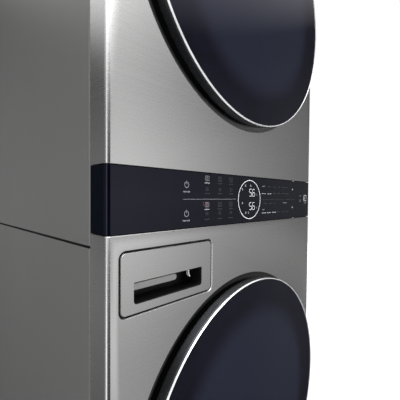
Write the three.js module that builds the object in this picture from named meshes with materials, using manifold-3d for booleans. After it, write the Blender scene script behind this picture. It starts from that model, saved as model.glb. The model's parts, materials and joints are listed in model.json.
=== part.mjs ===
// Washer and dryer tower: a front-loading washer with a tumble dryer built on top of it, one control
// panel between them. Millimetres, +Z up, the front faces -Y, and the origin is on the floor under the
// centre of the body. Each mesh is one piece of the machine, at the place where it sits when the doors,
// the drawer and the pump flap are shut.
import * as THREE from 'three';
import { mergeVertices } from 'three/addons/utils/BufferGeometryUtils.js';
import Module from 'manifold-3d';

const wasm = await Module();
wasm.setup();

// ---- Driving dimensions -------------------------------------------------------------------------

const WIDTH = 700;
const HEIGHT = 1889;
const DEPTH = 771;
const HALF_WIDTH = WIDTH / 2;
const BACK_Y = DEPTH / 2;                    // ends of the exhaust pipe and of the water inlets
const DOOR_PROUD = 34;                       // the doors stand this far in front of the steel
const FRONT_Y = -DEPTH / 2 + DOOR_PROUD;     // outer face of the steel front panels
const REAR_Y = BACK_Y - 20;                  // outer face of the rear covers
const SHEET = 1;                             // sheet steel
const GAP = 0.3;                             // between pieces that touch
const CORNER_R = 6;                          // upright corners of the front
const RETURN = 50;                           // depth of the front's side returns
const PANEL_Z = 1035;                        // middle of the control panel
const PANEL_HALF = 53.5;
const PANEL_JOINT = 1;                       // gap between the control panel and the steel
const GLASS_T = 4;

const CABINET_FRONT_Y = FRONT_Y + RETURN + 1.5;
const CABINET_BACK_Y = REAR_Y - SHEET - 0.5;
const WASHER_FLOOR_Z = 30;
const WASHER_TOP_Z = 957;
const DRYER_FLOOR_Z = 959;
const DRYER_TOP_Z = 1870;

const WASHER_Z = PANEL_Z - 487;              // washer door, tub and drum axis
const DRYER_Z = PANEL_Z + 472;               // dryer door and drum axis
const DOOR_R = 305;
const OPENING_R = 312;                       // round cut in the steel fronts
const RECESS = 18;                           // depth of the dish that each door closes into
const DISH_R = 319;                          // outer edge of the dish, lapped behind the steel
const MOUTH_R = 205;                         // loading mouth of the dryer
const LOADING_R = 200;                       // loading mouth of the washer
const HINGE_X = -287;
const HINGE_Y = FRONT_Y - 18;
const PIN_R = 4;
const PIN_CLEAR = 0.9;                       // between a hinge's pin and its eyes
const LATCH_X = 244;

const DRAWER_X = -221.7;
const DRAWER_Z = PANEL_Z - 133;
const DRAWER_W = 210;
const DRAWER_H = 102;
const DRAWER_R = 10;
const DRAWER_JOINT = 1.5;
const POCKET_X = -223.7;
const POCKET_Z = PANEL_Z - 150;
const POCKET_W = 157;
const POCKET_H = 36;
const POCKET_DEPTH = 40;

const FLAP_X = -250;                         // drain pump flap
const FLAP_Z = 120;
const FLAP_SIZE = 120;
const FLAP_R = 3;
const FLAP_JOINT = 1.5;

const DRUM_R = 275;                          // washer drum
const DRUM_HALF = 238;
const TUB_R = 295;
const TUB_WALL = 6;
const SPLIT_FLANGE_R = 306;                  // where the two tub halves bolt together
const SHAFT_R = 20;
const HUB_R = 60;
const SPRING_X = 312;
const SUSPENSION_Y = 60;
const LUG_Z = WASHER_Z + 146;
const HOOK_Z = 904;
const DAMPER_X = 150;

const DRYER_DRUM_R = 322;
const DRYER_DRUM_FRONT = -262;
const DRYER_DRUM_BACK = 300;
const MOTOR_Z = 1075;
const PULLEY_R = 11;
const BELT_Y = -50;
const BELT_W = 12;
const BELT_T = 2.5;
const BELT_CLEAR = 1.6;                      // between the belt and what it runs on
const ROLLER_R = 30;
const ROLLER_ANGLE = THREE.MathUtils.degToRad(28);
const ROLLER_AXLE_R = 6;
const IDLER_R = 16;
const IDLER_AXLE_R = 5;
const BORE_CLEAR = 0.6;                      // between a roller and its axle
const DUCT_X = 165;                          // exhaust pipe
const DUCT_Z = 1030;
const DUCT_R = 51;
const LINT_Y = -300;                         // lint filter
const LINT_HALF = 75;

const FINE = 28;                             // sides of the doors and their openings
const ROUND = 24;                            // sides of drums and tubs
const MEDIUM = 12;
const SMALL = 8;

// ---- Shape helpers ------------------------------------------------------------------------------

// A closed solid of a geometry, with its faces turned outwards.
function solid(geometry) {
  let bare = geometry.index ? geometry.toNonIndexed() : geometry.clone();
  bare.deleteAttribute('normal');
  bare.deleteAttribute('uv');
  bare = mergeVertices(bare, 1e-4);
  const points = new Float32Array(bare.attributes.position.array);
  const faces = new Uint32Array(dropSlivers(bare.index.array));
  if (signedVolume(points, faces) < 0) {
    for (let i = 0; i < faces.length; i += 3) {
      [faces[i], faces[i + 1]] = [faces[i + 1], faces[i]];
    }
  }
  return new wasm.Manifold(new wasm.Mesh({ numProp: 3, vertProperties: points, triVerts: faces }));
}

// Triangles that lost a corner when their points were merged, such as those on a lathe's axis.
function dropSlivers(index) {
  const kept = [];
  for (let i = 0; i < index.length; i += 3) {
    const [a, b, c] = [index[i], index[i + 1], index[i + 2]];
    if (a !== b && b !== c && c !== a) kept.push(a, b, c);
  }
  return kept;
}

function signedVolume(points, faces) {
  const corner = (k) => new THREE.Vector3().fromArray(points, 3 * k);
  let sum = 0;
  for (let i = 0; i < faces.length; i += 3) {
    sum += corner(faces[i]).dot(corner(faces[i + 1]).cross(corner(faces[i + 2])));
  }
  return sum / 6;
}

function box([x0, x1], [y0, y1], [z0, z1]) {
  const geometry = new THREE.BoxGeometry(x1 - x0, y1 - y0, z1 - z0);
  return solid(geometry.translate((x0 + x1) / 2, (y0 + y1) / 2, (z0 + z1) / 2));
}

// A profile of [radius, y] points turned about the line along Y at (x, z).
function turnedY(profile, x, z, sides) {
  const closed = closeProfile(profile);
  return solid(new THREE.LatheGeometry(closed, sides).translate(x, 0, z));
}

// A profile of [radius, z] points turned about the line along Z at (x, y).
function turnedZ(profile, x, y, sides) {
  const closed = closeProfile(profile);
  return solid(new THREE.LatheGeometry(closed, sides).rotateX(Math.PI / 2).translate(x, y, 0));
}

function closeProfile(profile) {
  const points = profile.map(([r, h]) => new THREE.Vector2(r, h));
  const onAxis = profile[0][0] === 0 && profile.at(-1)[0] === 0;
  return onAxis ? points : [...points, points[0].clone()];
}

function cylinderY(r, [y0, y1], x, z, sides) {
  return turnedY([[0, y0], [r, y0], [r, y1], [0, y1]], x, z, sides);
}

function cylinderZ(r, [z0, z1], x, y, sides) {
  return turnedZ([[0, z0], [r, z0], [r, z1], [0, z1]], x, y, sides);
}

// A shape drawn in X and Z, made thick along Y.
function slabXZ(shape, [y0, y1], curveSegments = 6) {
  const geometry = new THREE.ExtrudeGeometry(shape, { depth: y1 - y0, bevelEnabled: false, curveSegments });
  return solid(geometry.rotateX(Math.PI / 2).translate(0, y1, 0));
}

// A shape drawn in X and Y, made tall along Z.
function slabXY(shape, [z0, z1], curveSegments = 3) {
  const geometry = new THREE.ExtrudeGeometry(shape, { depth: z1 - z0, bevelEnabled: false, curveSegments });
  return solid(geometry.translate(0, 0, z0));
}

function roundedRectangle(x, z, width, height, r) {
  const [w, h] = [width / 2, height / 2];
  const shape = new THREE.Shape();
  shape.absarc(x + w - r, z + h - r, r, 0, Math.PI / 2);
  shape.absarc(x - w + r, z + h - r, r, Math.PI / 2, Math.PI);
  shape.absarc(x - w + r, z - h + r, r, Math.PI, 1.5 * Math.PI);
  shape.absarc(x + w - r, z - h + r, r, 1.5 * Math.PI, 2 * Math.PI);
  shape.closePath();
  return shape;
}

function polygon(points) {
  return new THREE.Shape(points.map(([x, y]) => new THREE.Vector2(x, y)));
}

function join(first, ...rest) {
  return rest.reduce((sum, next) => sum.add(next), first);
}

function cut(first, ...tools) {
  return tools.reduce((left, tool) => left.subtract(tool), first);
}

const mirrorX = (piece) => piece.mirror([1, 0, 0]);

// ---- Materials ----------------------------------------------------------------------------------

function material(color, roughness, metalness, opacity = 1) {
  return new THREE.MeshStandardMaterial({ color, roughness, metalness, opacity, transparent: opacity < 1 });
}

const brushedSteel = material('#9b9b9a', 0.36, 0.9);
const paintedSteel = material('#6a6a69', 0.5, 0.6);
const zincSteel = material('#a9adb0', 0.45, 0.9);
const gunmetal = material('#3a3b3d', 0.25, 0.9);
const blackGlass = material('#14161e', 0.05, 0);
const smokedGlass = material('#20212b', 0.04, 0, 0.6);
const bowlGlass = material('#c8d2d4', 0.03, 0, 0.35);
const blackPlastic = material('#0c0d12', 0.25, 0);
const darkPlastic = material('#26272a', 0.5, 0);
const greyPlastic = material('#8d9092', 0.55, 0);
const whitePlastic = material('#d8d9d6', 0.5, 0);
const stainless = material('#c3c5c6', 0.22, 1);
const rubber = material('#4a4c4d', 0.8, 0);
const blackRubber = material('#161616', 0.85, 0);
const castConcrete = material('#8f8c86', 0.95, 0);
const castAluminium = material('#a7a9aa', 0.5, 0.8);
const copper = material('#9a5a2e', 0.5, 0.7);
const boardGreen = material('#1d4a33', 0.6, 0);

const machine = new THREE.Group();

function place(name, piece, finish) {
  const { vertProperties, triVerts } = piece.getMesh();
  const geometry = new THREE.BufferGeometry();
  geometry.setAttribute('position', new THREE.BufferAttribute(new Float32Array(vertProperties), 3));
  geometry.setIndex(new THREE.BufferAttribute(new Uint32Array(triVerts), 1));
  geometry.computeVertexNormals();
  const mesh = new THREE.Mesh(geometry, finish);
  mesh.name = name;
  machine.add(mesh);
}

// ---- Feet, base and cabinets --------------------------------------------------------------------

const FOOT_PLACES = [
  ['front_left', -290, -290],
  ['front_right', 290, -290],
  ['rear_left', -290, 300],
  ['rear_right', 290, 300],
];
const BASE_PLATE_Z = [26, 28];
const BASE_RIM_Z = 55;
const FOOT_STUD_R = 6;

function levellingFeet() {
  const plateBottom = BASE_PLATE_Z[0] - GAP;
  const profile = [
    [0, 0], [24, 0], [24, 8], [FOOT_STUD_R, 14], [FOOT_STUD_R, 17],
    [12, 17], [12, plateBottom], [FOOT_STUD_R, plateBottom], [FOOT_STUD_R, 48], [0, 48],
  ];
  for (const [corner, x, y] of FOOT_PLACES) {
    place(`foot_${corner}`, turnedZ(profile, x, y, SMALL), blackRubber);
  }
}

function baseFrame() {
  const wall = BASE_PLATE_Z[1] - BASE_PLATE_Z[0];
  const [x, front, back] = [HALF_WIDTH - 16, FRONT_Y + 16, CABINET_BACK_Y - SHEET - 2];
  const tray = cut(
    box([-x, x], [front, back], [BASE_PLATE_Z[0], BASE_RIM_Z]),
    box([-x + wall, x - wall], [front + wall, back - wall], [BASE_PLATE_Z[1], BASE_RIM_Z + 1]),
  );
  const studHoles = FOOT_PLACES.map(([, fx, fy]) => cylinderZ(FOOT_STUD_R + 1, [20, 35], fx, fy, SMALL));
  place('base_frame', cut(tray, ...studHoles), zincSteel);
}

// A wrap of sheet seen from above: two sides, a back, and flanges turned in at the front.
function wrapShape() {
  const flange = 14;
  const [x, y0, y1, r] = [HALF_WIDTH, CABINET_FRONT_Y, CABINET_BACK_Y, 3];
  const inner = x - SHEET;
  const shape = new THREE.Shape();
  shape.moveTo(-x + flange, y0);
  shape.lineTo(-x + flange, y0 + SHEET);
  shape.lineTo(-inner, y0 + SHEET);
  shape.lineTo(-inner, y1 - SHEET);
  shape.lineTo(inner, y1 - SHEET);
  shape.lineTo(inner, y0 + SHEET);
  shape.lineTo(x - flange, y0 + SHEET);
  shape.lineTo(x - flange, y0);
  shape.absarc(x - r, y0 + r, r, -Math.PI / 2, 0);
  shape.absarc(x - r, y1 - r, r, 0, Math.PI / 2);
  shape.absarc(-x + r, y1 - r, r, Math.PI / 2, Math.PI);
  shape.absarc(-x + r, y0 + r, r, Math.PI, 1.5 * Math.PI);
  shape.closePath();
  return shape;
}

const SERVICE_HALF = 285;                    // half the width of the openings in the backs
const WASHER_SERVICE_Z = [90, 850];
const DRYER_SERVICE_Z = [975, 1845];
const DRYER_PAN_Z = [962, 974];
const VALVE_XS = [-95, -45];
const VALVE_Z = 905;
const VALVE_STUB_R = 13;
const DRAIN_X = 200;                         // outlet for the drain hose
const DRAIN_Z = 800;
const DRAIN_R = 15;
const THROUGH_BACK = [CABINET_BACK_Y - 10, REAR_Y + 12];

function washerCabinet() {
  const wrap = slabXY(wrapShape(), [WASHER_FLOOR_Z, WASHER_TOP_Z]);
  const service = box([-SERVICE_HALF, SERVICE_HALF], THROUGH_BACK, WASHER_SERVICE_Z);
  const inlets = VALVE_XS.map((x) => cylinderY(VALVE_STUB_R + 2, THROUGH_BACK, x, VALVE_Z, SMALL));
  const hookY = [SUSPENSION_Y - 14, SUSPENSION_Y + 14];
  const hook = box([SPRING_X - 14, HALF_WIDTH - SHEET / 2], hookY, [HOOK_Z, HOOK_Z + 6]);
  place('washer_cabinet', join(cut(wrap, service, ...inlets), hook, mirrorX(hook)), paintedSteel);
}

function dryerCabinet() {
  const wrap = slabXY(wrapShape(), [DRYER_FLOOR_Z, DRYER_TOP_Z]);
  const service = box([-SERVICE_HALF, SERVICE_HALF], THROUGH_BACK, DRYER_SERVICE_Z);
  const [x, front, back] = [HALF_WIDTH - SHEET / 2, CABINET_FRONT_Y + SHEET / 2, CABINET_BACK_Y - SHEET / 2];
  const floor = cut(
    box([-x, x], [front, back], DRYER_PAN_Z),
    box([-x + SHEET, x - SHEET], [front + SHEET, back - SHEET], [DRYER_PAN_Z[0] + SHEET, DRYER_PAN_Z[1] + 1]),
  );
  place('dryer_cabinet', join(cut(wrap, service), floor), paintedSteel);
}

function rearCovers() {
  const y = [CABINET_BACK_Y + GAP, REAR_Y];
  const lap = 12;
  const plate = ([z0, z1]) => box([-SERVICE_HALF - lap, SERVICE_HALF + lap], y, [z0 - lap, z1 + lap]);
  const drain = cylinderY(DRAIN_R, [REAR_Y - 1, REAR_Y + 18], DRAIN_X, DRAIN_Z, SMALL);
  const drainBore = cylinderY(DRAIN_R - 3, THROUGH_BACK.map((edge) => edge + 10), DRAIN_X, DRAIN_Z, SMALL);
  place('washer_rear_cover', cut(join(plate(WASHER_SERVICE_Z), drain), drainBore), zincSteel);
  const terminals = box([-250, -150], [REAR_Y - 1, REAR_Y + 16], [1010, 1080]);
  const exhaust = cylinderY(DUCT_R + 1.5, THROUGH_BACK, DUCT_X, DUCT_Z, MEDIUM);
  place('dryer_rear_cover', join(cut(plate(DRYER_SERVICE_Z), exhaust), terminals), zincSteel);
}

function topCover() {
  const outline = roundedRectangle(0, (FRONT_Y + REAR_Y) / 2, WIDTH, REAR_Y - FRONT_Y, CORNER_R);
  const wall = 2 * SHEET;
  const hollowZ = [DRYER_TOP_Z, HEIGHT - SHEET];
  const cap = cut(
    slabXY(outline, [DRYER_TOP_Z + 1, HEIGHT]),
    box([wall - HALF_WIDTH, HALF_WIDTH - wall], [FRONT_Y + wall, REAR_Y - wall], hollowZ),
  );
  place('top_cover', cap, paintedSteel);
}

// ---- Steel fronts and control panel -------------------------------------------------------------

// A front panel seen from above: a flat face with rounded upright corners and returns down the sides.
function frontShape() {
  const [x, y0, y1, r] = [HALF_WIDTH, FRONT_Y, FRONT_Y + RETURN, CORNER_R];
  const shape = new THREE.Shape();
  shape.moveTo(-x, y1);
  shape.absarc(-x + r, y0 + r, r, Math.PI, 1.5 * Math.PI);
  shape.absarc(x - r, y0 + r, r, 1.5 * Math.PI, 2 * Math.PI);
  shape.lineTo(x, y1);
  shape.lineTo(x - SHEET, y1);
  shape.absarc(x - r, y0 + r, r - SHEET, 0, -Math.PI / 2, true);
  shape.absarc(-x + r, y0 + r, r - SHEET, -Math.PI / 2, -Math.PI, true);
  shape.lineTo(-x + SHEET, y1);
  shape.closePath();
  return shape;
}

function steelFront([z0, z1], doorZ) {
  const flangeY = [FRONT_Y + SHEET / 2, FRONT_Y + 14];
  const flange = (z) => box([-HALF_WIDTH + 2 * CORNER_R, HALF_WIDTH - 2 * CORNER_R], flangeY, z);
  const skin = join(slabXY(frontShape(), [z0, z1]), flange([z0, z0 + SHEET]), flange([z1 - SHEET, z1]));
  return cut(skin, cylinderY(OPENING_R, [FRONT_Y - 5, FRONT_Y + 8], 0, doorZ, FINE));
}

function frontPanels() {
  const through = [FRONT_Y - 5, FRONT_Y + 8];
  const drawer = roundedRectangle(
    DRAWER_X, DRAWER_Z, DRAWER_W + 2 * DRAWER_JOINT, DRAWER_H + 2 * DRAWER_JOINT, DRAWER_R + DRAWER_JOINT,
  );
  const flap = roundedRectangle(
    FLAP_X, FLAP_Z, FLAP_SIZE + 2 * FLAP_JOINT, FLAP_SIZE + 2 * FLAP_JOINT, FLAP_R + FLAP_JOINT,
  );
  const openings = [slabXZ(drawer, through, 4), slabXZ(flap, through, 4)];
  const washer = steelFront([WASHER_FLOOR_Z, PANEL_Z - PANEL_HALF - PANEL_JOINT], WASHER_Z);
  const dryer = steelFront([PANEL_Z + PANEL_HALF + PANEL_JOINT, DRYER_TOP_Z], DRYER_Z);
  place('washer_front_panel', cut(washer, ...openings), brushedSteel);
  place('dryer_front_panel', dryer, brushedSteel);
}

function controlPanel() {
  const z = [PANEL_Z - PANEL_HALF, PANEL_Z + PANEL_HALF];
  const wall = 2.5;
  const glassHalf = HALF_WIDTH - CORNER_R;
  const glassBack = FRONT_Y + GLASS_T;
  const outline = new THREE.Shape();
  outline.moveTo(-HALF_WIDTH, FRONT_Y + RETURN);
  outline.absarc(-glassHalf, FRONT_Y + CORNER_R, CORNER_R, Math.PI, 1.5 * Math.PI);
  outline.lineTo(-glassHalf, glassBack + GAP);
  outline.lineTo(glassHalf, glassBack + GAP);
  outline.absarc(glassHalf, FRONT_Y + CORNER_R, CORNER_R, 1.5 * Math.PI, 2 * Math.PI);
  outline.lineTo(HALF_WIDTH, FRONT_Y + RETURN);
  outline.closePath();
  const inside = box(
    [-HALF_WIDTH + wall, HALF_WIDTH - wall],
    [glassBack + GAP + wall, FRONT_Y + RETURN + 1],
    [z[0] + wall, z[1] - wall],
  );
  place('control_housing', cut(slabXY(outline, z), inside), blackPlastic);
  place('control_glass', box([-glassHalf + GAP, glassHalf - GAP], [FRONT_Y, glassBack], z), blackGlass);
  const board = join(
    box([-215, 300], [FRONT_Y + 18, FRONT_Y + 20], [PANEL_Z - 42, PANEL_Z + 42]),
    cylinderY(40, [FRONT_Y + 8, FRONT_Y + 18.5], 19, PANEL_Z, MEDIUM),
    box([-120, -60], [FRONT_Y + 19, FRONT_Y + 36], [PANEL_Z - 30, PANEL_Z + 30]),
    box([120, 240], [FRONT_Y + 19, FRONT_Y + 32], [PANEL_Z - 30, PANEL_Z + 30]),
  );
  place('control_board', board, boardGreen);
}

// ---- Doors --------------------------------------------------------------------------------------

const FRAME_FRONT = FRONT_Y - 29.7;
const FRAME_BACK = FRONT_Y + 4;
const DOOR_FACE = FRONT_Y - DOOR_PROUD;
const FRAME_WALL = 4;
const BEZEL = 4.5;                           // width of the metal edge round the glass
const LIP_R = 212;
const BOWL_FLANGE_R = 224;
const GRIP_HALF = 70;
const KNUCKLE_R = 8;
const ARM_HALF = 30;                         // half the height of the bracket's barrel
const KNUCKLE_TOP = 50;

// The ring round the glass: a metal rim, a web behind the glass and a lip that carries the bowl.
function doorFrame(z) {
  const web = FRAME_FRONT + FRAME_WALL;
  const lip = FRONT_Y - 6;
  const ring = turnedY([
    [DOOR_R - BEZEL, DOOR_FACE], [DOOR_R, DOOR_FACE], [DOOR_R - 4, FRAME_BACK], [DOOR_R - 8, FRAME_BACK],
    [DOOR_R - 5, web], [LIP_R + FRAME_WALL, web], [LIP_R + FRAME_WALL, lip], [LIP_R, lip],
    [LIP_R, FRAME_FRONT], [DOOR_R - BEZEL, FRAME_FRONT],
  ], 0, z, FINE);
  const hingeNotch = box([-312, -268], [FRAME_FRONT + 0.5, FRAME_BACK + 1], [z - 53, z + 53]);
  const gripNotch = box([262, 312], [FRONT_Y - 22, FRAME_BACK + 1], [z - GRIP_HALF, z + GRIP_HALF]);
  return cut(ring, hingeNotch, gripNotch);
}

// The inner cover ring, with a notch for the hinge.
function doorBack(z, mouthR) {
  const [y0, y1] = [FRONT_Y - 1.2, FRONT_Y + 3.2];
  const ring = turnedY([[DOOR_R - 9, y0], [DOOR_R - 9, y1], [mouthR, y1], [mouthR, y0]], 0, z, FINE);
  const gripWell = box([255, 312], [y0 - 1, y1 + 1], [z - GRIP_HALF, z + GRIP_HALF]);
  return cut(ring, box([-312, -262], [y0 - 1, y1 + 1], [z - 53, z + 53]), gripWell);
}

// The door's half of the hinge: a leaf with a knuckle above and below the bracket's barrel.
function doorHinge(z) {
  const knuckle = (z0, z1) => cut(
    cylinderZ(KNUCKLE_R, [z0, z1], HINGE_X, HINGE_Y, SMALL),
    cylinderZ(PIN_R + PIN_CLEAR, [z0 - 1, z1 + 1], HINGE_X, HINGE_Y, SMALL),
  );
  const ear = (z0, z1) => cut(
    box([HINGE_X, -262], [HINGE_Y - 4, HINGE_Y + 2], [z0, z1]),
    cylinderZ(PIN_R + 2, [z0 - 1, z1 + 1], HINGE_X, HINGE_Y, SMALL),
  );
  const low = ARM_HALF + 1;
  const leaf = box([-266, -225], [HINGE_Y - 4, HINGE_Y + 2], [z - KNUCKLE_TOP, z + KNUCKLE_TOP]);
  return join(
    leaf,
    knuckle(z + low, z + KNUCKLE_TOP), ear(z + low, z + KNUCKLE_TOP),
    knuckle(z - KNUCKLE_TOP, z - low), ear(z - KNUCKLE_TOP, z - low),
  );
}

// The hook on the door's back that its lock or catch holds.
function doorHook(z) {
  const y0 = FRONT_Y + 2;
  return join(
    box([LATCH_X - 9, LATCH_X + 9], [y0, y0 + 3], [z - 12, z + 12]),
    box([LATCH_X - 3, LATCH_X + 3], [y0 + 1, FRONT_Y + 36], [z - 6, z + 6]),
    box([LATCH_X - 6, LATCH_X + 3], [FRONT_Y + 31, FRONT_Y + 36], [z - 6, z + 6]),
  );
}

function door(prefix, z, bowlProfile, mouthR) {
  place(`${prefix}_door_frame`, doorFrame(z), gunmetal);
  const glass = cylinderY(DOOR_R - BEZEL - 2 * GAP, [DOOR_FACE, FRAME_FRONT - GAP], 0, z, FINE);
  place(`${prefix}_door_glass`, glass, smokedGlass);
  place(`${prefix}_door_bowl`, turnedY(bowlProfile, 0, z, ROUND), bowlGlass);
  place(`${prefix}_door_back`, join(doorBack(z, mouthR), doorHook(z)), darkPlastic);
  place(`${prefix}_door_hinge`, doorHinge(z), zincSteel);
}

// Bowl profiles: a flange clamped behind the frame's lip, and a dish that reaches into the mouth.
function bowlProfile(neckR, bottomR, depth) {
  const wall = 4;
  const [y0, y1] = [FRONT_Y - 6 + GAP, FRONT_Y - 1.7];
  const end = FRONT_Y + depth;
  return [
    [0, end], [bottomR * 0.8, end - 3], [bottomR, end - 12], [neckR, FRONT_Y + 6], [neckR + 6, y1],
    [BOWL_FLANGE_R, y1], [BOWL_FLANGE_R, y0], [neckR + 1, y0],
    [bottomR - wall, end - 14], [bottomR * 0.8 - 2, end - 3 - wall], [0, end - wall],
  ];
}

function doors() {
  door('washer', WASHER_Z, bowlProfile(178, 146, 122), 188);
  door('dryer', DRYER_Z, bowlProfile(188, 170, 32), 198);
}

// ---- Dishes behind the doors --------------------------------------------------------------------

// The cabinet's half of a hinge, welded to the dish: a plate, an arm and a barrel that carries the pin.
function hingeBracket(z) {
  const plateY = [FRONT_Y + RECESS - 3, FRONT_Y + RECESS + SHEET / 2];
  return join(
    box([-296, -262], plateY, [z - 60, z + 60]),
    box([HINGE_X - 4, HINGE_X + 4], [HINGE_Y, plateY[1] - 1], [z - ARM_HALF, z + ARM_HALF]),
    cylinderZ(KNUCKLE_R - 1, [z - ARM_HALF, z + ARM_HALF], HINGE_X, HINGE_Y, SMALL),
    cylinderZ(PIN_R, [z - KNUCKLE_TOP - 1, z + KNUCKLE_TOP + 1], HINGE_X, HINGE_Y, SMALL),
  );
}

// The pocket behind the dish that a door's hook enters: a catch, or the washer's locked one.
function hookPocket(z, depth) {
  const y = [FRONT_Y + RECESS + SHEET / 2, FRONT_Y + RECESS + SHEET + depth];
  return cut(
    box([LATCH_X - 17, LATCH_X + 17], y, [z - 26, z + 26]),
    box([LATCH_X - 11, LATCH_X + 11], [y[0] - 1, y[1] - 3], [z - 13, z + 13]),
  );
}

// The dish's rim, lapped behind the steel, and its side wall.
const dishRim = (floor) => [
  [DISH_R, FRONT_Y + 1.8], [DISH_R, FRONT_Y + 1.8 + SHEET], [OPENING_R + 1.5 + SHEET, FRONT_Y + 1.8 + SHEET],
  [OPENING_R + 1.5 + SHEET, floor + SHEET],
];

const latchSlot = (z) => box([LATCH_X - 12, LATCH_X + 12], [FRONT_Y, FRONT_Y + 30], [z - 14, z + 14]);

function washerDoorSurround() {
  const floor = FRONT_Y + RECESS;
  const dish = turnedY([
    ...dishRim(floor),
    [LOADING_R, floor + SHEET], [LOADING_R, FRONT_Y + 10], [LOADING_R + SHEET, FRONT_Y + 10],
    [LOADING_R + SHEET, floor], [OPENING_R + 1.5, floor], [OPENING_R + 1.5, FRONT_Y + 1.8],
  ], 0, WASHER_Z, FINE);
  const fittings = [hookPocket(WASHER_Z, 26), hingeBracket(WASHER_Z)];
  place('washer_door_surround', join(cut(dish, latchSlot(WASHER_Z)), ...fittings), gunmetal);
}

const BULKHEAD_BACK = DRYER_DRUM_FRONT - 4;
const BULKHEAD_R = 312;
const ROLLER_Y = [-240, -216];
const ROLLER_X = (DRYER_DRUM_R + ROLLER_R + GAP) * Math.sin(ROLLER_ANGLE);
const ROLLER_Z = DRYER_Z - (DRYER_DRUM_R + ROLLER_R + GAP) * Math.cos(ROLLER_ANGLE);

// The dish, the loading tunnel and the drum's front wall in one pressing, with the roller axles on it.
function dryerFrontBulkhead() {
  const floor = FRONT_Y + RECESS;
  const wallFront = BULKHEAD_BACK - SHEET;
  const pressing = turnedY([
    ...dishRim(floor),
    [MOUTH_R + SHEET, floor + SHEET], [MOUTH_R + SHEET, wallFront], [BULKHEAD_R, wallFront],
    [BULKHEAD_R, BULKHEAD_BACK], [MOUTH_R, BULKHEAD_BACK], [MOUTH_R, floor],
    [OPENING_R + 1.5, floor], [OPENING_R + 1.5, FRONT_Y + 1.8],
  ], 0, DRYER_Z, FINE);
  const earX = [ROLLER_X - 22, ROLLER_X + 16];
  const ear = box(earX, [BULKHEAD_BACK - 2 * SHEET, BULKHEAD_BACK], [ROLLER_Z - 15, ROLLER_Z + 60]);
  const axle = cylinderY(ROLLER_AXLE_R, [BULKHEAD_BACK - 1, ROLLER_Y[1] + 4], ROLLER_X, ROLLER_Z, SMALL);
  const slotZ = [DRYER_Z - MOUTH_R - 8, DRYER_Z - MOUTH_R + 30];
  const lintSlot = box([-LINT_HALF - 4, LINT_HALF + 4], [LINT_Y - 11, LINT_Y + 11], slotZ);
  const fittings = [ear, mirrorX(ear), axle, mirrorX(axle), hookPocket(DRYER_Z, 22), hingeBracket(DRYER_Z)];
  place('dryer_front_bulkhead', join(cut(pressing, latchSlot(DRYER_Z), lintSlot), ...fittings), gunmetal);
}

// ---- Detergent drawer ---------------------------------------------------------------------------

function drawer() {
  const outline = roundedRectangle(DRAWER_X, DRAWER_Z, DRAWER_W, DRAWER_H, DRAWER_R);
  const core = roundedRectangle(DRAWER_X, DRAWER_Z, DRAWER_W - 5, DRAWER_H - 5, DRAWER_R - 2.5);
  const pocketX = [POCKET_X - POCKET_W / 2, POCKET_X + POCKET_W / 2];
  const pocketZ = [POCKET_Z - POCKET_H / 2, POCKET_Z + POCKET_H / 2];
  const wall = 2;
  const grow = ([a, b], by) => [a - by, b + by];
  const plateBack = FRONT_Y + 3;
  const pocketBack = FRONT_Y + POCKET_DEPTH;
  const front = cut(
    join(
      cut(slabXZ(outline, [FRONT_Y, FRONT_Y + 10], 4), slabXZ(core, [plateBack, FRONT_Y + 11], 4)),
      box(grow(pocketX, wall), [FRONT_Y + 1, pocketBack + wall], grow(pocketZ, wall)),
    ),
    box(pocketX, [FRONT_Y - 1, pocketBack], pocketZ),
  );
  place('drawer_front', front, brushedSteel);

  const trayX = [DRAWER_X - 96, DRAWER_X + 96];
  const trayY = [pocketBack + wall + GAP, -75];
  const trayZ = [864, 938];
  const inner = (x) => box(x, [trayY[0] + wall, trayY[1] - wall], [trayZ[0] + wall, trayZ[1] + 1]);
  const tray = cut(
    box(trayX, trayY, trayZ),
    inner([trayX[0] + wall, DRAWER_X - 30]),
    inner([DRAWER_X - 28, DRAWER_X + 40]),
    inner([DRAWER_X + 42, trayX[1] - wall]),
  );
  place('drawer_tray', tray, greyPlastic);

  const [houseX, houseY, houseZ] = [grow(trayX, 5), [FRONT_Y + 12, -58], [859, 948]];
  const housing = cut(
    box(houseX, houseY, houseZ),
    box(grow(trayX, 3), [houseY[0] - 1, houseY[1] - 2], grow(houseZ, -2)),
  );
  const spout = box([DRAWER_X + 40, DRAWER_X + 70], [-100, -59], [842, 860]);
  place('dispenser_housing', join(housing, spout), whitePlastic);
}

// ---- Drain pump, its filter and its flap --------------------------------------------------------

const PUMP_Y = [-316, -190];

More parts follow.
